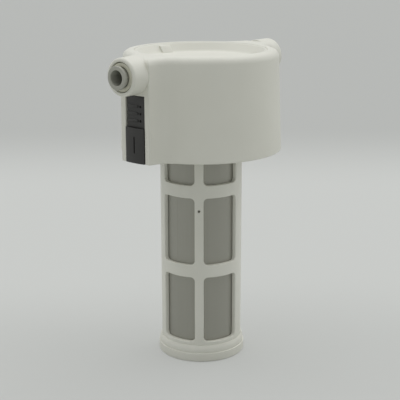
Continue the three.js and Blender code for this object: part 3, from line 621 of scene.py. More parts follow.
def boss(side):
    corners = [(0, BOSS_ROOT), (BOSS_R, BOSS_ROOT), (BOSS_R, BOSS_END), (0, BOSS_END)]
    outline = rounded(corners, [0, 0.45, BOSS_EDGE, 0], 8)
    return moved(turned("boss", outline, 144), to_port(side))


def socket(side):
    outline = [
        (0, TUBE_STOP), (TUBE_BORE_R, TUBE_STOP), (TUBE_BORE_R, SEAL_BORE_FLOOR),
        (SEAL_BORE_R, SEAL_BORE_FLOOR), (SEAL_BORE_R, SOCKET_FLOOR), (SOCKET_R, SOCKET_FLOOR),
        (SOCKET_R, BOSS_END - 0.3), (SOCKET_R + 0.1, BOSS_END - 0.1), (SOCKET_R + 0.3, BOSS_END),
        (SOCKET_R + 0.3, BOSS_END + 1), (0, BOSS_END + 1),
    ]
    return moved(turned("socket", outline), to_port(side))


def passage(side, radius, start, end):
    return rod("passage", (side * start, 0, PASSAGE_Z), (side * end, 0, PORT_Z), radius)


def latch_channel(side):
    """The upright channel of a latch, with softened lips where it opens in the block's flat."""
    lip = CHANNEL_LIP
    flare = [(BLOCK_REACH - lip + lip * math.sin(a), CHANNEL_HALF + lip * (1 - math.cos(a)))
             for a in quarter_turn(4)]
    top = [(CHANNEL_FLOOR, CHANNEL_HALF)] + flare + [(BLOCK_REACH + 1, CHANNEL_HALF + lip)]
    outline = top + [(x, -y) for x, y in reversed(top)]
    return moved(upright("channel", outline, HEAD_LOW - 1, CHANNEL_TOP), side_turn(side))


def tooth_window(side):
    low = (SKIRT_R - 1, -TOOTH_HOLE_HALF, HEAD_LOW - 1)
    high = (CHANNEL_FLOOR + 1, TOOTH_HOLE_HALF, TOOTH_HOLE_TOP)
    return moved(box("window", low, high), side_turn(side))


def sector(name, r0, r1, z0, z1, turn, half):
    """A part of a ring, half of it on each side of a turn given in degrees."""
    steps = 8
    angles = [(turn - half + 2 * half * i / steps) * DEG for i in range(steps + 1)]
    outline = [(r1 * math.cos(a), r1 * math.sin(a)) for a in angles]
    outline += [(r0 * math.cos(a), r0 * math.sin(a)) for a in reversed(angles)]
    return upright(name, outline, z0, z1)


def head_shell():
    shell = head_blank()
    added = [boss(side) for side in SIDES]
    tab_r = (SKIRT_R - TAB_REACH, SKIRT_R + OVERLAP)
    added += [sector("tab", *tab_r, TAB_LOW, TAB_TOP, turn, TAB_HALF_TURN) for turn in TAB_TURNS]
    low = (CORE_R - OVERLAP, -STIFFENER_HALF, SHOULDER_Z - CONE_H)
    high = (SKIRT_R + OVERLAP, STIFFENER_HALF, DECK_Z - DECK_T + OVERLAP)
    added += [moved(box("wall", low, high), about_z(turn)) for turn in STIFFENER_TURNS]
    combine(shell, added, "UNION")
    outer_r = PASSAGE_R + PASSAGE_WALL
    combine(shell, [passage(side, outer_r, CHAMBER_R + 1.6, TUBE_STOP) for side in SIDES], "UNION")
    combine(shell, [tool(side) for tool in (socket, latch_channel) for side in SIDES], "DIFFERENCE")
    tools = [tooth_window(side) for side in SIDES]
    tools += [passage(side, PASSAGE_R, CHAMBER_R - 1, TUBE_STOP + 0.01) for side in SIDES]
    combine(shell, tools, "DIFFERENCE")
    finished(shell, "head_shell", "white_plastic")


def top_cover():
    top, outer_r = cover_high.z, cover_high.x
    floor_z = top - DISH_DEPTH
    corners = [
        (0, cover_low.z), (DISH_R, cover_low.z), (COVER_PLUG_R, LEDGE_Z - COVER_PLUG_H),
        (COVER_PLUG_R, LEDGE_Z), (outer_r, LEDGE_Z), (outer_r, top), (outer_r - COVER_LIP, top),
        (DISH_R, floor_z), (0, floor_z),
    ]
    radii = [0, 0.5, 0.3, 0.1, 0.1, 0.2, DISH_BEND_R, DISH_BEND_R, 0]
    cover = turned("top_cover_disc", rounded(corners, radii, 8), 180)
    slope = (outer_r - COVER_LIP - DISH_R) / (top - floor_z)
    low_r, low_z = DISH_R - 0.1 * slope, floor_z - 0.1
    high_r, high_z = DISH_R + (top - LUG_DROP - floor_z) * slope, top - LUG_DROP
    side = [(low_r - LUG_T, low_z), (low_r + OVERLAP, low_z),
            (high_r + OVERLAP, high_z), (high_r - LUG_T, high_z)]
    lug = softened(across("lug", side, -LUG_HALF, LUG_HALF), 0.42)
    combine(cover, [moved(lug, about_z(LUG_TURN))], "UNION")
    finished(cover, "top_cover", "white_plastic")


# Strainer and foot
def window_loops():
    """Matching loops round one window: its own outline and the border of its quarter of the wall."""
    half_u = WINDOW_W / 2 - WINDOW_R
    half_v = WINDOW_H / 2 - WINDOW_R
    near = -(WINDOW_W + RIB_W) / 2
    far = near + TUBE_R * math.pi / 2
    top = WINDOW_H / 2 + BAND_H / 2
    corner_steps = 16
    window = []
    border = []
    for corner in range(4):
        sign_u = 1 if corner in (0, 3) else -1
        sign_v = 1 if corner < 2 else -1
        reach = far if sign_u > 0 else near
        for i in range(corner_steps + 1):
            share = i / corner_steps
            angle = (corner + share) * math.pi / 2
            window.append((sign_u * half_u, sign_v * half_v, math.cos(angle), math.sin(angle)))
            along = share if corner % 2 == 0 else 1 - share
            border.append((
                reach if along <= 0.5 else sign_u * half_u + (reach - sign_u * half_u) * (2 - 2 * along),
                sign_v * (top if along >= 0.5 else half_v + (top - half_v) * 2 * along),
            ))
        steps = 14 if corner % 2 == 0 else 8
        for i in range(1, steps):
            share = 1 - 2 * i / steps
            if corner % 2 == 0:
                window.append((sign_u * half_u * share, sign_v * half_v, 0, sign_v))
                border.append((sign_u * half_u * share, sign_v * top))
            else:
                window.append((sign_u * half_u, sign_v * half_v * share, sign_u, 0))
                border.append((reach, sign_v * half_v * share))
    return window, border


def window_pair():
    """Half of one row of the cage, laid flat: a rib in the middle, a soft-edged window on each side."""
    window, border = window_loops()
    steps = 9

    def towards(loop, i):
        return [(a[0] + (b[0] - a[0]) * i / steps, a[1] + (b[1] - a[1]) * i / steps)
                for a, b in zip(loop, border)]

    def edge_ring(reach, depth):
        return [(u + reach * cu, depth, v + reach * cv) for u, v, cu, cv in window]

    lip_r = WINDOW_R + WINDOW_LIP
    near = [(u + lip_r * cu, v + lip_r * cv) for u, v, cu, cv in window]
    wide = [near] + [towards(near, i) for i in range(1, steps + 1)]
    rings = [[(u, 0, v) for u, v in ring] for ring in wide[::-1]]
    for angle in quarter_turn(4)[1:]:
        reach = WINDOW_R + WINDOW_LIP * (1 - math.sin(angle))
        rings.append(edge_ring(reach, -WINDOW_LIP * (1 - math.cos(angle))))
    for step, depth in [(0, -TUBE_WALL + 0.2), (0.06, -TUBE_WALL + 0.06), (0.2, -TUBE_WALL)]:
        rings.append(edge_ring(WINDOW_R + step, depth))
    inner = [(u, v) for u, depth, v in rings[-1]]
    rings += [[(u, -TUBE_WALL, v) for u, v in towards(inner, i)] for i in (3, 6, 9)]
    count = len(window)
    centre = (WINDOW_W + RIB_W) / 2
    points = []
    faces = []
    for sign in (1, -1):
        first = len(points)
        points += [(sign * (u + centre), depth, v) for ring in rings for u, depth, v in ring]
        for level in range(len(rings) - 1):
            a = first + level * count
            for i in range(count):
                j = (i + 1) % count
                face = (a + i, a + j, a + count + j, a + count + i)
                faces.append(face if sign > 0 else face[::-1])
    return mesh_piece("strainer_cage_tube", points, faces)


def ring_of(body, loop, r, z):
    fresh = []
    for vertex in loop:
        flat = Vector((vertex.co.x, vertex.co.y)).normalized() * r * MM
        fresh.append(body.verts.new((flat.x, flat.y, z * MM)))
    return fresh


def edge_loop(body, z, outer):
    """The open edge of a bent wall at one height, in order round the axis."""
    middle_r = TUBE_R - TUBE_WALL / 2
    found = []
    for vertex in body.verts:
        if vertex.is_boundary and abs(vertex.co.z / MM - z) < 0.1:
            if (Vector((vertex.co.x, vertex.co.y)).length / MM > middle_r) == outer:
                found.append(vertex)
    return sorted(found, key=lambda vertex: math.atan2(vertex.co.y, vertex.co.x))


def close_end(body, z, end_z, outline):
    """Closes one end of the cage wall with rings that follow an outline of (radius, height)."""
    outer = edge_loop(body, z, True)
    inner = edge_loop(body, z, False)
    for vertex in outer + inner:
        vertex.co.z = end_z * MM
    loops = [outer] + [ring_of(body, outer, r, h) for r, h in outline] + [inner]
    count = len(outer)
    for low, high in zip(loops, loops[1:]):
        for i in range(count):
            j = (i + 1) % count
            body.faces.new((low[i], low[j], high[j], high[i]))


def strainer_cage():
    pitch = WINDOW_H + BAND_H
    middle = FIRST_WINDOW + WINDOW_H / 2 + pitch
    cage = grown(window_pair(), cage_wall_from_cells, "white_plastic", columns=2, rows=WINDOW_ROWS,
                 row_pitch=pitch * MM, tube_radius=TUBE_R * MM, turn=(RIB_TURN + 90) * DEG,
                 middle_height=middle * MM)
    body = bmesh.new()
    body.from_mesh(cage.data)
    low = middle - 1.5 * pitch
    top = middle + 1.5 * pitch
    inner_r = TUBE_R - TUBE_WALL
    flange_z = cage_high.z - CAGE_FLANGE_T
    flange = rounded([(TUBE_R - 0.01, flange_z), (cage_high.x, flange_z), (cage_high.x, cage_high.z),
                      (inner_r, cage_high.z)], [0.4, 0.2, 0.2, 0.2], 3)
    flare = [(TUBE_R, low), (TUBE_R, FLARE_TOP), (COLLAR_R, COLLAR_TOP), (COLLAR_R, cage_low.z)]
    end = rounded(flare + [(inner_r, cage_low.z), (inner_r, low)], [0, 5, 5, 0.1, 0.15, 0], 6)
    close_end(body, low, low, end[1:-1])
    close_end(body, top, flange_z - 0.5, flange)
    body.to_mesh(cage.data)
    body.free()
    tidy(cage)
    turn = (RIB_TURN + 180) * DEG
    out = Vector((math.cos(turn), math.sin(turn), 0))
    lift = Vector((0, 0, VENT_Z))
    vent = rod("vent", out * (inner_r - 2) + lift, out * (TUBE_R + 1) + lift, VENT_R, 32)
    combine(cage, [vent], "DIFFERENCE")
    finished(cage, "strainer_cage", "white_plastic", sharp=40)


def mesh_sleeve():
    r = TUBE_R - TUBE_WALL - 0.08
    low, high = sleeve_low.z, sleeve_high.z
    sleeve = turned("mesh_sleeve_tube", [(r - 0.4, low), (r, low), (r, high), (r - 0.4, high)], 240)
    finished(sleeve, "mesh_sleeve", "steel_mesh")


def foot_cap():
    r = foot_high.x
    rim_r = r - FOOT_RIM_W
    spigot_r = sleeve_high.x - 0.7
    bore_r = spigot_r - SPIGOT_WALL
    corners = [
        (0, FOOT_UNDER), (rim_r, FOOT_UNDER), (rim_r, 0), (r, 0), (r, FOOT_FLANGE_T),
        (spigot_r, FOOT_FLANGE_T), (spigot_r, foot_high.z), (bore_r, foot_high.z),
        (bore_r, FOOT_FLOOR), (0, FOOT_FLOOR),
    ]
    radii = [0, 0.5, 0.3, 0.8, 0.3, 0.05, 0.4, 0.4, 0.6, 0]
    finished(turned("foot_cap_disc", rounded(corners, radii, 6), 180), "foot_cap", "white_plastic")


# Fittings
def collet(side):
    name = f"collet_{SIDES[side]}"
    bore_r = TUBE_BORE_R - 0.1
    start, end = collet_low.x, collet_high.x
    flange = end - COLLET_FLANGE_T
    corners = [
        (bore_r, start), (COLLET_SLEEVE_R, start), (COLLET_SLEEVE_R, flange), (COLLET_FLANGE_R, flange),
        (COLLET_FLANGE_R, end), (bore_r, end),
    ]
    body = turned(f"{name}_sleeve", rounded(corners, [0.2, 0.3, 0.15, 0.3, 0.4, 0.25], 6))
    finished(moved(body, to_port(side)), name, "grey_plastic", body=name)


def ring_piece(node, r0, r1, low, high, soft, slot, side=0, material=None):
    """A plain seal or spacer: a ring of four rounded corners, laid along the tube's line if it has a side."""
    outline = rounded([(r0, low), (r1, low), (r1, high), (r0, high)], soft, 5)
    body = turned(f"{node}_ring", outline)
    if side:
        moved(body, to_port(side))
    finished(body, node, slot, material=material)


def fitting_rings(side):
    where = SIDES[side]
    # The cartridge takes a paler grey: partly its own beige tone, partly painted light against the collet
    # flange's shadow.
    ring_piece(f"cartridge_{where}", 4.35, SOCKET_R - 0.3, cartridge_low.x, cartridge_high.x,
               [0.2, 0.2, 0.4, 0.3], "grey_plastic", side, "pale_grey_plastic")
    ring_piece(f"spacer_ring_{where}", 3.6, 6, spacer_low.x, spacer_high.x, 0.15, "natural_plastic", side)
    middle = (SEAL_BORE_FLOOR + SOCKET_FLOOR) / 2
    ring_piece(f"tube_oring_{where}", 3.07, 4.93, middle - 0.8, middle + 0.8, 0.79, "rubber", side)


def grab_ring(side):
    """A steel ring whose teeth, bent slightly inwards along the tube, bite into it."""
    name = f"grab_ring_{SIDES[side]}"
    low, high = grab_low.x, grab_high.x
    band = turned(f"{name}_band", rounded([(4.9, low), (6, low), (6, high), (4.9, high)], 0.08, 3))
    outline = [(3.4, -0.75), (3.55, 0), (3.4, 0.75), (5.1, 1.15), (5.1, -1.15)]
    tooth = upright("tooth", outline, low + 0.02, high - 0.02)
    grown(tooth, copies_round_the_axis, "spring_steel", count=GRAB_TEETH)
    combine(band, [tooth], "UNION")
    finished(moved(band, to_port(side)), name, "spring_steel", sharp=40)


def spring(node, turns, wire):
    low, high = span(node)
    radius = (high.y - low.y) / 2 - wire
    piece = grown(mesh_piece(f"{node}_wire", [(0, 0, 0)], []), coil_spring, "spring_steel",
                  turns=float(turns), points_per_turn=28, coil_radius=radius * MM, wire_radius=wire * MM,
                  height=(high.z - low.z - 2 * wire) * MM, place_x=(low.x + high.x) / 2 * MM,
                  place_z=(low.z + wire) * MM)
    finished(piece, node, "spring_steel", sharp=60)
    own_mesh(piece)


# Latches
def latch_slider(side):
    name = f"latch_slider_{SIDES[side]}"
    back, low = slider_low.x, slider_low.z
    leg_x = PAD_BACK - LEG_T
    bar = soft_box(f"{name}_bar", (PAD_BACK, -PAD_HALF, PAD_LOW), (PAD_FACE, PAD_HALF, PAD_TOP), 0.3)
    parts = {
        "tongue": (PAD_BACK, PAD_FACE, COVER_HALF - 1, TONGUE_LOW, PAD_LOW + 0.5, 0.2),
        "leg": (leg_x, PAD_BACK + OVERLAP, LEG_HALF, low, PAD_LOW + 0.5, 0.25),
        "arm": (back, leg_x + OVERLAP, LEG_HALF, low, low + 2, 0.25),
        "tooth": (back, back + 1.7, LEG_HALF, low, low + 4.5, 0.35),
        "fin": (PAD_FACE - OVERLAP, slider_high.x - 0.2, FIN_HALF, SLOT_LOW + 4.3, SLOT_HIGH - 0.3, 0.06),
    }
    for part, (x0, x1, half, z0, z1, soft) in parts.items():
        combine(bar, [soft_box(part, (x0, -half, z0), (x1, half, z1), soft)], "UNION")
    y0, y1 = GRIP_RIB_ENDS
    z = GRIP_FIRST
    rib = soft_box("rib", (PAD_FACE - 0.4, y0, z - 0.6), (PAD_FACE + 0.4, y1, z + 0.6), 0.28)
    dimple = rod("dimple", (PAD_FACE - 0.5, DIMPLE_Y, z), (PAD_FACE + 1, DIMPLE_Y, z), DIMPLE_R, 24)
    for tool, operation in ((rib, "UNION"), (dimple, "DIFFERENCE")):
        grown(tool, copies_down_a_line, "black_plastic", count=GRIP_RIBS, pitch=GRIP_PITCH * MM)
        combine(bar, [tool], operation)
    finished(moved(bar, side_turn(side)), name, "black_plastic", body=name)


def rounded_slot(half, low, high):
    """An upright slot with round ends, as (y, z) points."""
    turns = [i / 8 * math.pi for i in range(9)]
    top = [(half * math.cos(a), high - half + half * math.sin(a)) for a in turns]
    return top + [(-y, low + high - z) for y, z in top]


def latch_cover(side):
    """A crowned front with an upright slot, two cheeks and the floor that carries the spring."""
    name = f"latch_cover_{SIDES[side]}"
    low, half = front_low.z, COVER_HALF
    edge_x = COVER_FACE - COVER_CROWN
    crown = [(edge_x + COVER_CROWN * (1 - (1 - i / 6) ** 2), -half + half * i / 6) for i in range(7)]
    outline = crown + [(x, -y) for x, y in crown[-2::-1]] + [(COVER_INNER, half), (COVER_INNER, -half)]
    cover = softened(upright(f"{name}_front", outline, low, front_high.z), 0.34, 4)
    for y0, y1 in ((-half, -half + CHEEK_T), (half - CHEEK_T, half)):
        cheek = soft_box("cheek", (front_low.x, y0, low), (COVER_INNER + 0.15, y1, low + CHEEK_H), 0.12)
        combine(cover, [cheek], "UNION")
    floor_end = (COVER_INNER + 0.1, half, low + SPRING_FLOOR_T)
    combine(cover, [soft_box("spring_floor", (PAD_BACK + 0.4, -half, low), floor_end, 0.12)], "UNION")
    slot_outline = rounded_slot(SLOT_HALF, SLOT_LOW, SLOT_HIGH)
    combine(cover, [outwards("slot", slot_outline, COVER_INNER - 0.3, COVER_FACE + 1)], "DIFFERENCE")
    finished(moved(cover, side_turn(side)), name, "black_plastic")


# Base plate, bonnet and valve
def base_plate():
    """The ring under the head: a collar for the cage, entries for the tabs, notches for the latches."""
    low, high = PLATE_Z, PLATE_Z + PLATE_T
    inner_r, collar_r = PLATE_COLLAR_R
    corners = [
        (inner_r, low), (PLATE_R, low), (PLATE_R, high), (collar_r, high), (collar_r, plate_high.z),
        (inner_r, plate_high.z),
    ]
    plate = turned("base_plate_disc", rounded(corners, [0.5, 0.4, 0.4, 1.2, 0.3, 0.3], 4), 160)
    for turn in TAB_TURNS:
        rib = soft_box("rib", (19.2, -0.9, plate_low.z), (ENTRY_R[0], 0.9, low + OVERLAP), 0.3)
        combine(plate, [moved(rib, about_z(turn))], "UNION")
    tools = [sector("entry", *ENTRY_R, low - 0.3, high + 0.3, turn - LOCK_TURN, ENTRY_HALF_TURN)
             for turn in TAB_TURNS]
    tools += [moved(box("notch", (30.1, -NOTCH_HALF, low - 1), (ENTRY_R[1], NOTCH_HALF, high + 1)),
                    side_turn(side)) for side in SIDES]
    combine(plate, tools, "DIFFERENCE")
    finished(plate, "base_plate", "white_plastic")


def bonnet():
    """The plug over the valve chamber: a groove for its O-ring, a hub for the stem and a slot on top."""
    under, top = BONNET_UNDER, bonnet_high.z
    head = top - BONNET_HEAD_T
    groove_low, groove_high = BONNET_GROOVE_Z - BONNET_GROOVE_HALF, BONNET_GROOVE_Z + BONNET_GROOVE_HALF
    corners = [
        (STEM_BORE_R, bonnet_low.z), (3.6, bonnet_low.z), (3.6, under), (BONNET_R, under),
        (BONNET_R, groove_low), (BONNET_GROOVE_R, groove_low), (BONNET_GROOVE_R, groove_high),
        (BONNET_R, groove_high), (BONNET_R, head), (BONNET_HEAD_R, head), (BONNET_HEAD_R, top), (0, top),
        (0, top - 1.5), (STEM_BORE_R, top - 1.5),
    ]
    radii = [0.2, 0.3, 0.5, 0.3, 0.1, 0.15, 0.15, 0.1, 0.1, 0.2, 0.35, 0, 0, 0]
    plug = turned("bonnet_plug", rounded(corners, radii, 4), 140)
    combine(plug, [soft_box("slot", (-10, -1.2, top - 0.8), (10, 1.2, top + 1), 0.15)], "DIFFERENCE")
    finished(plug, "bonnet", "natural_plastic")


def valve_seat():
    """The seat ring with its raised lip, O-ring groove and the three-armed guide for the stem."""
    low = gasket_high.z
    top = low + SEAT_T
    lip = seat_high.z
    groove = top - SEAT_GROOVE_DEPTH
    groove_r0, groove_r1 = SEAT_GROOVE_R
    corners = [
        (SEAT_BORE_R, low), (SEAT_R, low), (SEAT_R, top), (groove_r1, top), (groove_r1, groove),
        (groove_r0, groove), (groove_r0, top), (SEAT_LIP_R, top), (SEAT_LIP_R, lip), (SEAT_BORE_R, lip),
    ]
    radii = [0.3, 0.3, 0.2, 0.1, 0.15, 0.15, 0.1, 0.3, 0.35, 0.35]
    seat = turned("valve_seat_ring", rounded(corners, radii, 4), 140)
    arms = grown(soft_box("arm", (2, -0.8, low), (7.6, 0.8, low + 2), 0.25), copies_round_the_axis,
                 "natural_plastic", count=SEAT_ARMS)
    hub = rounded([(0, low - 1.2), (4, low - 1.2), (4, low + 2), (0, low + 2)], [0, 0.3, 0.3, 0], 4)
    combine(seat, [turned("hub", hub, 64)], "UNION")
    combine(seat, [arms], "UNION")
    combine(seat, [rod("guide", (0, 0, low - 3), (0, 0, lip), STEM_BORE_R, 64)], "DIFFERENCE")
    finished(seat, "valve_seat", "natural_plastic")


def poppet():
    low, high = poppet_low.z, poppet_high.z
    face, back = washer_low.z, washer_high.z
    corners = [
        (0, low), (2, low), (2, face), (5.1, face), (5.1, back), (10.8, back), (10.8, back + 1.4),
        (2, back + 1.4), (2, high), (0, high),
    ]
    disc = turned("poppet_disc", rounded(corners, [0, 0.6, 0.3, 0.3, 0.2, 0.3, 0.4, 0.5, 0.5, 0], 5))
    finished(disc, "poppet", "natural_plastic", body="poppet")


def poppet_seal():
    corners = [(5.4, washer_low.z), (10.4, washer_low.z), (10.4, washer_high.z), (5.4, washer_high.z)]
    washer = turned("poppet_seal_washer", rounded(corners, 0.25, 4))
    finished(washer, "poppet_seal", "rubber", body="poppet")


def seals():
    ring_piece("cage_gasket", 16.8, SEAT_R, gasket_low.z, gasket_high.z, 0.3, "rubber")
    for node, r0, r1, middle in (("seat_oring", 17.9, 19.4, SHOULDER_Z - 0.85),
                                 ("bonnet_oring", BONNET_GROOVE_R, 15.9, BONNET_GROOVE_Z)):
        ring_piece(node, r0, r1, middle - ORING_HALF, middle + ORING_HALF, ORING_HALF - 0.01, "rubber")


# Materials
def surface_group(name, inputs, outputs):
    """A shader node group with named inputs and outputs, to be placed in several materials."""
    tree = bpy.data.node_groups.new(name, "ShaderNodeTree")
    for key, value in inputs.items():
        entry = tree.interface.new_socket(name=key, in_out="INPUT", socket_type="NodeSocketFloat")
        entry.default_value = value
    for key in outputs:
        tree.interface.new_socket(name=key, in_out="OUTPUT", socket_type="NodeSocketFloat")
    plan = Plan(tree)
    return tree, plan, plan.node("NodeGroupInput").outputs


def object_place(plan):
    return plan.node("ShaderNodeTexCoord").outputs["Object"]


def noise(plan, place, size, detail=2.0):
    """Soft noise whose patches are about one size, which is in metres or comes from a socket."""
    scale = plan.math("DIVIDE", 1, size)
    return plan.node("ShaderNodeTexNoise", {"Vector": place, "Scale": scale, "Detail": detail}).outputs["Fac"]


def spread(plan, value, low, high):
    """Stretches a value so that low becomes 0 and high becomes 1."""
    return plan.out("ShaderNodeMapRange", {"Value": value, "From Min": low, "From Max": high})


def moulded_surface_group():
    """Slow tone changes, the fine grain of the mould and the flow of the plastic, each by its size."""
    inputs = {"Tone Size": 0.03, "Grain Size": 0.0004, "Flow Size": 0.012}
    tree, plan, ins = surface_group("moulded surface", inputs, ["Tone", "Grain", "Gloss"])
    place = object_place(plan)
    tone = noise(plan, place, ins["Tone Size"])
    grain = noise(plan, place, ins["Grain Size"], 1)
    stretch = plan.out("ShaderNodeMapping", {"Vector": place, "Scale": (1, 1, 0.35)})
    flow = noise(plan, stretch, ins["Flow Size"], 4)
    speckle = plan.math("MULTIPLY_ADD", grain, 0.35, plan.math("MULTIPLY", flow, 0.65))
    plan.node("NodeGroupOutput", {
        "Tone": spread(plan, tone, 0.3, 0.7), "Grain": grain, "Gloss": spread(plan, speckle, 0.3, 0.7)})
    return tree


def dust_group():
    """Where faint dust and handling show: on faces that look up, in soft patches."""
    tree, plan, ins = surface_group("dust and handling", {"Patch Size": 0.015, "Amount": 0.5}, ["Dust"])
    patches = spread(plan, noise(plan, object_place(plan), ins["Patch Size"], 5), 0.42, 0.72)
    normal = plan.node("ShaderNodeNewGeometry").outputs["Normal"]
    facing = plan.node("ShaderNodeSeparateXYZ", {"Vector": normal}).outputs["Z"]
    level = spread(plan, facing, 0.1, 0.95)
    both = plan.math("MULTIPLY", patches, plan.math("MULTIPLY_ADD", level, 0.8, 0.2))
    plan.node("NodeGroupOutput", {"Dust": plan.math("MULTIPLY", both, ins["Amount"])})
    return tree


def drawn_wire_group():
    """Drawing marks on bright steel: fine specks over slow changes of brightness."""
    inputs = {"Mark Size": 0.0003, "Tone Size": 0.004}
    tree, plan, ins = surface_group("drawn wire", inputs, ["Tone", "Marks"])
    place = object_place(plan)
    tone = noise(plan, place, ins["Tone Size"], 3)
    marks = noise(plan, place, ins["Mark Size"], 2)
    plan.node("NodeGroupOutput", {"Tone": spread(plan, tone, 0.3, 0.7), "Marks": marks})
    return tree


def woven_wire_group():
    """Wires that cross at an even pitch, wrapped round the Z axis, with faint upright streaks."""
    inputs = {"Wire Pitch": 0.00036, "Sleeve Radius": 0.0167, "Streak Size": 0.0012}
    tree, plan, ins = surface_group("woven wire", inputs, ["Weave", "Height", "Streak"])
    place = plan.node("ShaderNodeSeparateXYZ", {"Vector": object_place(plan)}).outputs
    along = plan.math("MULTIPLY", plan.math("ARCTAN2", place["Y"], place["X"]), ins["Sleeve Radius"])
    step = plan.math("DIVIDE", math.pi, ins["Wire Pitch"])
    u = plan.math("MULTIPLY", along, step)
    v = plan.math("MULTIPLY", place["Z"], step)
    wires = [plan.math("POWER", plan.math("ABSOLUTE", plan.math("COSINE", way)), 2) for way in (u, v)]
    over = plan.math("MULTIPLY", plan.math("SINE", u), plan.math("SINE", v))
    weave = plan.math("MAXIMUM", *wires)
    height = plan.math("MULTIPLY_ADD", over, 0.25, weave)
    streak = noise(plan, plan.out("ShaderNodeCombineXYZ", {"X": along}), ins["Streak Size"], 3)
    plan.node("NodeGroupOutput", {"Weave": weave, "Height": height, "Streak": spread(plan, streak, 0.3, 0.7)})
    return tree


GROUPS = {
    "moulded": moulded_surface_group(),
    "dust": dust_group(),
    "drawn": drawn_wire_group(),
    "woven": woven_wire_group(),
}


def material_plan(name):
    """A fresh material with its shader, and a plan to lay its nodes with."""
    material = bpy.data.materials.new(name)
    material.use_nodes = True
    return material, Plan(material.node_tree), material.node_tree.nodes["Principled BSDF"]


def placed_group(plan, key, **values):
    """Places one of the shared groups, with its inputs set by name."""
    inputs = {titled(name): value for name, value in values.items()}
    return plan.node("ShaderNodeGroup", inputs, node_tree=GROUPS[key]).outputs


def between(plan, share, first, second):
    """A colour that runs from the first to the second."""
    blend = plan.node("ShaderNodeMix", data_type="RGBA")
    plan.tree.links.new(share, blend.inputs["Factor"])
    for socket_name, color in (("A", first), ("B", second)):
        socket_ = next(s for s in blend.inputs if s.name == socket_name and s.type == "RGBA")
        if isinstance(color, bpy.types.NodeSocket):
            plan.tree.links.new(color, socket_)
        else:
            socket_.default_value = (*color, 1)
    return next(s for s in blend.outputs if s.type == "RGBA")


def feed(plan, shader, **links):
    for name, source in links.items():
        plan.tree.links.new(source, shader.inputs[titled(name)])


def relief(plan, height, depth):
    return plan.out("ShaderNodeBump", {"Height": height, "Strength": 1.0, "Distance": depth})


def seen_rays(plan):
    """1 where the surface is seen, directly or in gloss or glass, and 0 where it only gives light."""
    rays = plan.node("ShaderNodeLightPath").outputs
    mirrored = plan.math("MAXIMUM", rays["Is Glossy Ray"], rays["Is Transmission Ray"])
    return plan.math("MAXIMUM", rays["Is Camera Ray"], mirrored)


def moulded_plastic(name, color, shade, rough, dust=0.35, grain=0.0004, grain_depth=0.000006, tone=0.03):
    """Moulded plastic: two close colours, satin gloss that wanders, fine grain and faint dust."""
    material, plan, shader = material_plan(name)
    surface = placed_group(plan, "moulded", tone_size=tone, grain_size=grain, flow_size=0.012)
    film = placed_group(plan, "dust", patch_size=0.015, amount=dust)["Dust"]
    body_color = between(plan, surface["Tone"], color, shade)
    mean = sum(color) / 3
    dusty = [c * 0.75 + (0.25 * mean + 0.01) * w for c, w in zip(color, (1.0, 0.98, 0.93))]
    roughness = plan.math("MULTIPLY_ADD", surface["Gloss"], rough[1] - rough[0], rough[0])
    dulled = plan.math("MULTIPLY_ADD", film, 0.25, roughness)
    feed(plan, shader, base_color=between(plan, film, body_color, dusty), roughness=dulled,
         normal=relief(plan, surface["Grain"], grain_depth))
    return material


def woven_steel(name):
    material, plan, shader = material_plan(name)
    cloth = placed_group(plan, "woven", wire_pitch=0.00036, sleeve_radius=0.0167, streak_size=0.0012)
    wires = between(plan, cloth["Streak"], (0.43, 0.425, 0.375), (0.48, 0.475, 0.42))
    # The holes between the wires are painted dark: painted shade for the hollow inside that shows through
    # them.
    color = between(plan, cloth["Weave"], (0.17, 0.167, 0.14), wires)
    roughness = plan.math("MULTIPLY_ADD", cloth["Streak"], 0.08, 0.44)
    feed(plan, shader, base_color=color, roughness=roughness, normal=relief(plan, cloth["Height"], 0.00002))
    shader.inputs["Metallic"].default_value = 0.8
    shader.inputs["Sheen Weight"].default_value = 0.5
    shader.inputs["Sheen Roughness"].default_value = 0.4
    return material


def bright_steel(name):
    material, plan, shader = material_plan(name)
    wire = placed_group(plan, "drawn", mark_size=0.0003, tone_size=0.004)
    color = between(plan, wire["Tone"], (0.56, 0.555, 0.54), (0.66, 0.655, 0.64))
    roughness = plan.math("MULTIPLY_ADD", wire["Marks"], 0.15, 0.22)
    feed(plan, shader, base_color=color, roughness=roughness, normal=relief(plan, wire["Marks"], 0.000003))
    shader.inputs["Metallic"].default_value = 1.0
    return material


# The floor, whose tones go by the distance behind the part in millimetres
FLOOR_HEADING = 40
FLOOR_NEAR = -200
FLOOR_FAR = 900
FLOOR_TONES = [(-10, 0.56), (100, 0.598), (300, 0.598), (560, 0.475)]
FLOOR_TINT = (0.995, 1.015, 0.985)
FLOOR_GLOW = 0.45
FLOOR_SPECKS_PER_MM = 0.9
FLOOR_REACH = 9000


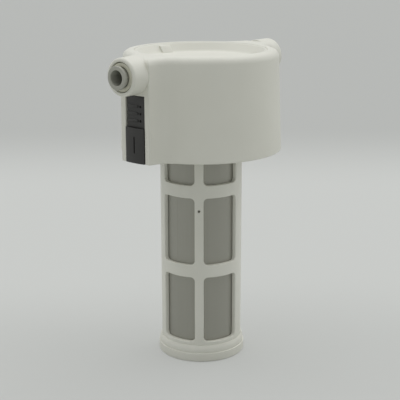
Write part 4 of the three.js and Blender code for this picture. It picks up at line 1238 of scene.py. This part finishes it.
def studio_floor(name):
    """The sweep under and behind the part: its tone changes slowly with the distance behind it."""
    material, plan, shader = material_plan(name)
    place = plan.node("ShaderNodeSeparateXYZ", {"Vector": object_place(plan)}).outputs
    heading = FLOOR_HEADING * DEG
    depth = plan.math("ADD", plan.math("MULTIPLY", place["X"], math.cos(heading)),
                      plan.math("MULTIPLY", place["Y"], math.sin(heading)))
    ramp = plan.node("ShaderNodeValToRGB", {"Fac": spread(plan, depth, FLOOR_NEAR * MM, FLOOR_FAR * MM)})
    stops = ramp.outputs[0].node.color_ramp
    stops.interpolation = "EASE"
    while len(stops.elements) < len(FLOOR_TONES):
        stops.elements.new(0.5)
    for stop, (distance, tone) in zip(stops.elements, FLOOR_TONES):
        stop.position = (distance - FLOOR_NEAR) / (FLOOR_FAR - FLOOR_NEAR)
        stop.color = (*(tone * share for share in FLOOR_TINT), 1)
    lift = plan.math("MULTIPLY", seen_rays(plan), FLOOR_GLOW)
    color = between(plan, lift, ramp.outputs[0], (0, 0, 0))
    speckle = noise(plan, object_place(plan), MM / FLOOR_SPECKS_PER_MM)
    feed(plan, shader, base_color=color, normal=relief(plan, speckle, 0.00001))
    plan.tree.links.new(ramp.outputs[0], shader.inputs["Emission Color"])
    plan.tree.links.new(lift, shader.inputs["Emission Strength"])
    shader.inputs["Roughness"].default_value = 0.9
    shader.inputs["Specular IOR Level"].default_value = 0.1
    return material


PLASTICS = {
    "white_plastic": dict(color=(0.77, 0.765, 0.69), shade=(0.73, 0.725, 0.645), rough=(0.38, 0.46)),
    "grey_plastic": dict(color=(0.40, 0.40, 0.345), shade=(0.365, 0.365, 0.315), rough=(0.36, 0.48)),
    # The cartridges' paler grey is partly their own beige tone and partly painted light that offsets the
    # shadow the collet's flange casts on them.
    "pale_grey_plastic": dict(color=(0.68, 0.67, 0.55), shade=(0.64, 0.63, 0.515), rough=(0.36, 0.48)),
    "natural_plastic": dict(color=(0.7, 0.68, 0.6), shade=(0.66, 0.64, 0.55), rough=(0.36, 0.46)),
    "black_plastic": dict(color=(0.032, 0.031, 0.029), shade=(0.025, 0.024, 0.0225), rough=(0.3, 0.42),
                          dust=0.2, grain=0.0005, grain_depth=0.00002, tone=0.012),
    "rubber": dict(color=(0.022, 0.022, 0.022), shade=(0.016, 0.016, 0.016), rough=(0.5, 0.66), dust=0.25),
}
MATERIALS = {name: moulded_plastic(name, **looks) for name, looks in PLASTICS.items()}
MATERIALS["steel_mesh"] = woven_steel("steel_mesh")
MATERIALS["spring_steel"] = bright_steel("spring_steel")


# Stage
CAMERA_PLACE = Vector((-343.63, -288.34, 191.18))
CAMERA_PITCH = 14.8885
CAMERA_ROLL = -0.12
CAMERA_TURN = 0.0683
CAMERA_LENS = 90.6165
ROOM_LIGHT = 0.335
SEEN_SKY = 0.55
SKY_COLOR = (0.9, 0.92, 0.92, 1)


def camera():
    data = bpy.data.cameras.new("camera")
    data.lens = CAMERA_LENS
    data.sensor_width = 36
    data.clip_start = 0.01
    data.clip_end = 50
    view = bpy.data.objects.new("camera", data)
    bpy.context.scene.collection.objects.link(view)
    heading = math.atan2(-CAMERA_PLACE.y, -CAMERA_PLACE.x) - math.pi / 2 + CAMERA_TURN * DEG
    turn = Matrix.Rotation(heading, 4, "Z") @ Matrix.Rotation((90 - CAMERA_PITCH) * DEG, 4, "X")
    turn = turn @ Matrix.Rotation(CAMERA_ROLL * DEG, 4, "Z")
    view.matrix_world = Matrix.Translation(CAMERA_PLACE * MM) @ turn
    bpy.context.scene.camera = view


def floor():
    far = FLOOR_REACH
    corners = [(-far, -far, 0), (far, -far, 0), (far, far, 0), (-far, far, 0)]
    piece = mesh_piece("floor", corners, [(0, 1, 2, 3)])
    piece.data.materials.append(studio_floor("studio_floor"))


def sun(name, azimuth, elevation, strength, width):
    """A wide lamp far off, in the direction that it shines from."""
    data = bpy.data.lights.new(name, "SUN")
    data.energy = strength
    data.angle = width * DEG
    lamp = bpy.data.objects.new(name, data)
    bpy.context.scene.collection.objects.link(lamp)
    a, e = azimuth * DEG, elevation * DEG
    out = Vector((math.cos(e) * math.cos(a), math.cos(e) * math.sin(a), math.sin(e)))
    lamp.rotation_euler = out.to_track_quat("Z", "Y").to_euler()


def world():
    """Soft room light, shown paler to the camera and to what gloss and glass reflect."""
    sky = bpy.data.worlds.new("studio")
    sky.use_nodes = True
    plan = Plan(sky.node_tree)
    background = sky.node_tree.nodes["Background"]
    background.inputs["Color"].default_value = SKY_COLOR
    strength = plan.math("MULTIPLY_ADD", seen_rays(plan), SEEN_SKY - ROOM_LIGHT, ROOM_LIGHT)
    sky.node_tree.links.new(strength, background.inputs["Strength"])
    bpy.context.scene.world = sky


camera()
floor()
world()
sun("overhead", 60, 75, 1.45, 90)
sun("right back", 327, 35, 0.75, 75)
sun("left", 137, 30, 0.35, 90)
sun("front", 222, 15, 0.07, 60)

for node in frame["nodes"].values():
    slot_name = next(s["material_slot"] for s in frame["record"]["subparts"] if s["node"] == node.name)
    node.data.materials.clear()
    node.data.materials.append(MATERIALS[slot_name])

head_shell()
top_cover()
strainer_cage()
mesh_sleeve()
foot_cap()
base_plate()
bonnet()
valve_seat()
seals()
poppet()
poppet_seal()
spring("poppet_spring", 3, 0.25)
for side in SIDES:
    collet(side)
    fitting_rings(side)
    grab_ring(side)
    latch_slider(side)
    latch_cover(side)
    spring(f"latch_spring_{SIDES[side]}", 8, 0.1)

bpy.context.scene.view_settings.view_transform = "Standard"
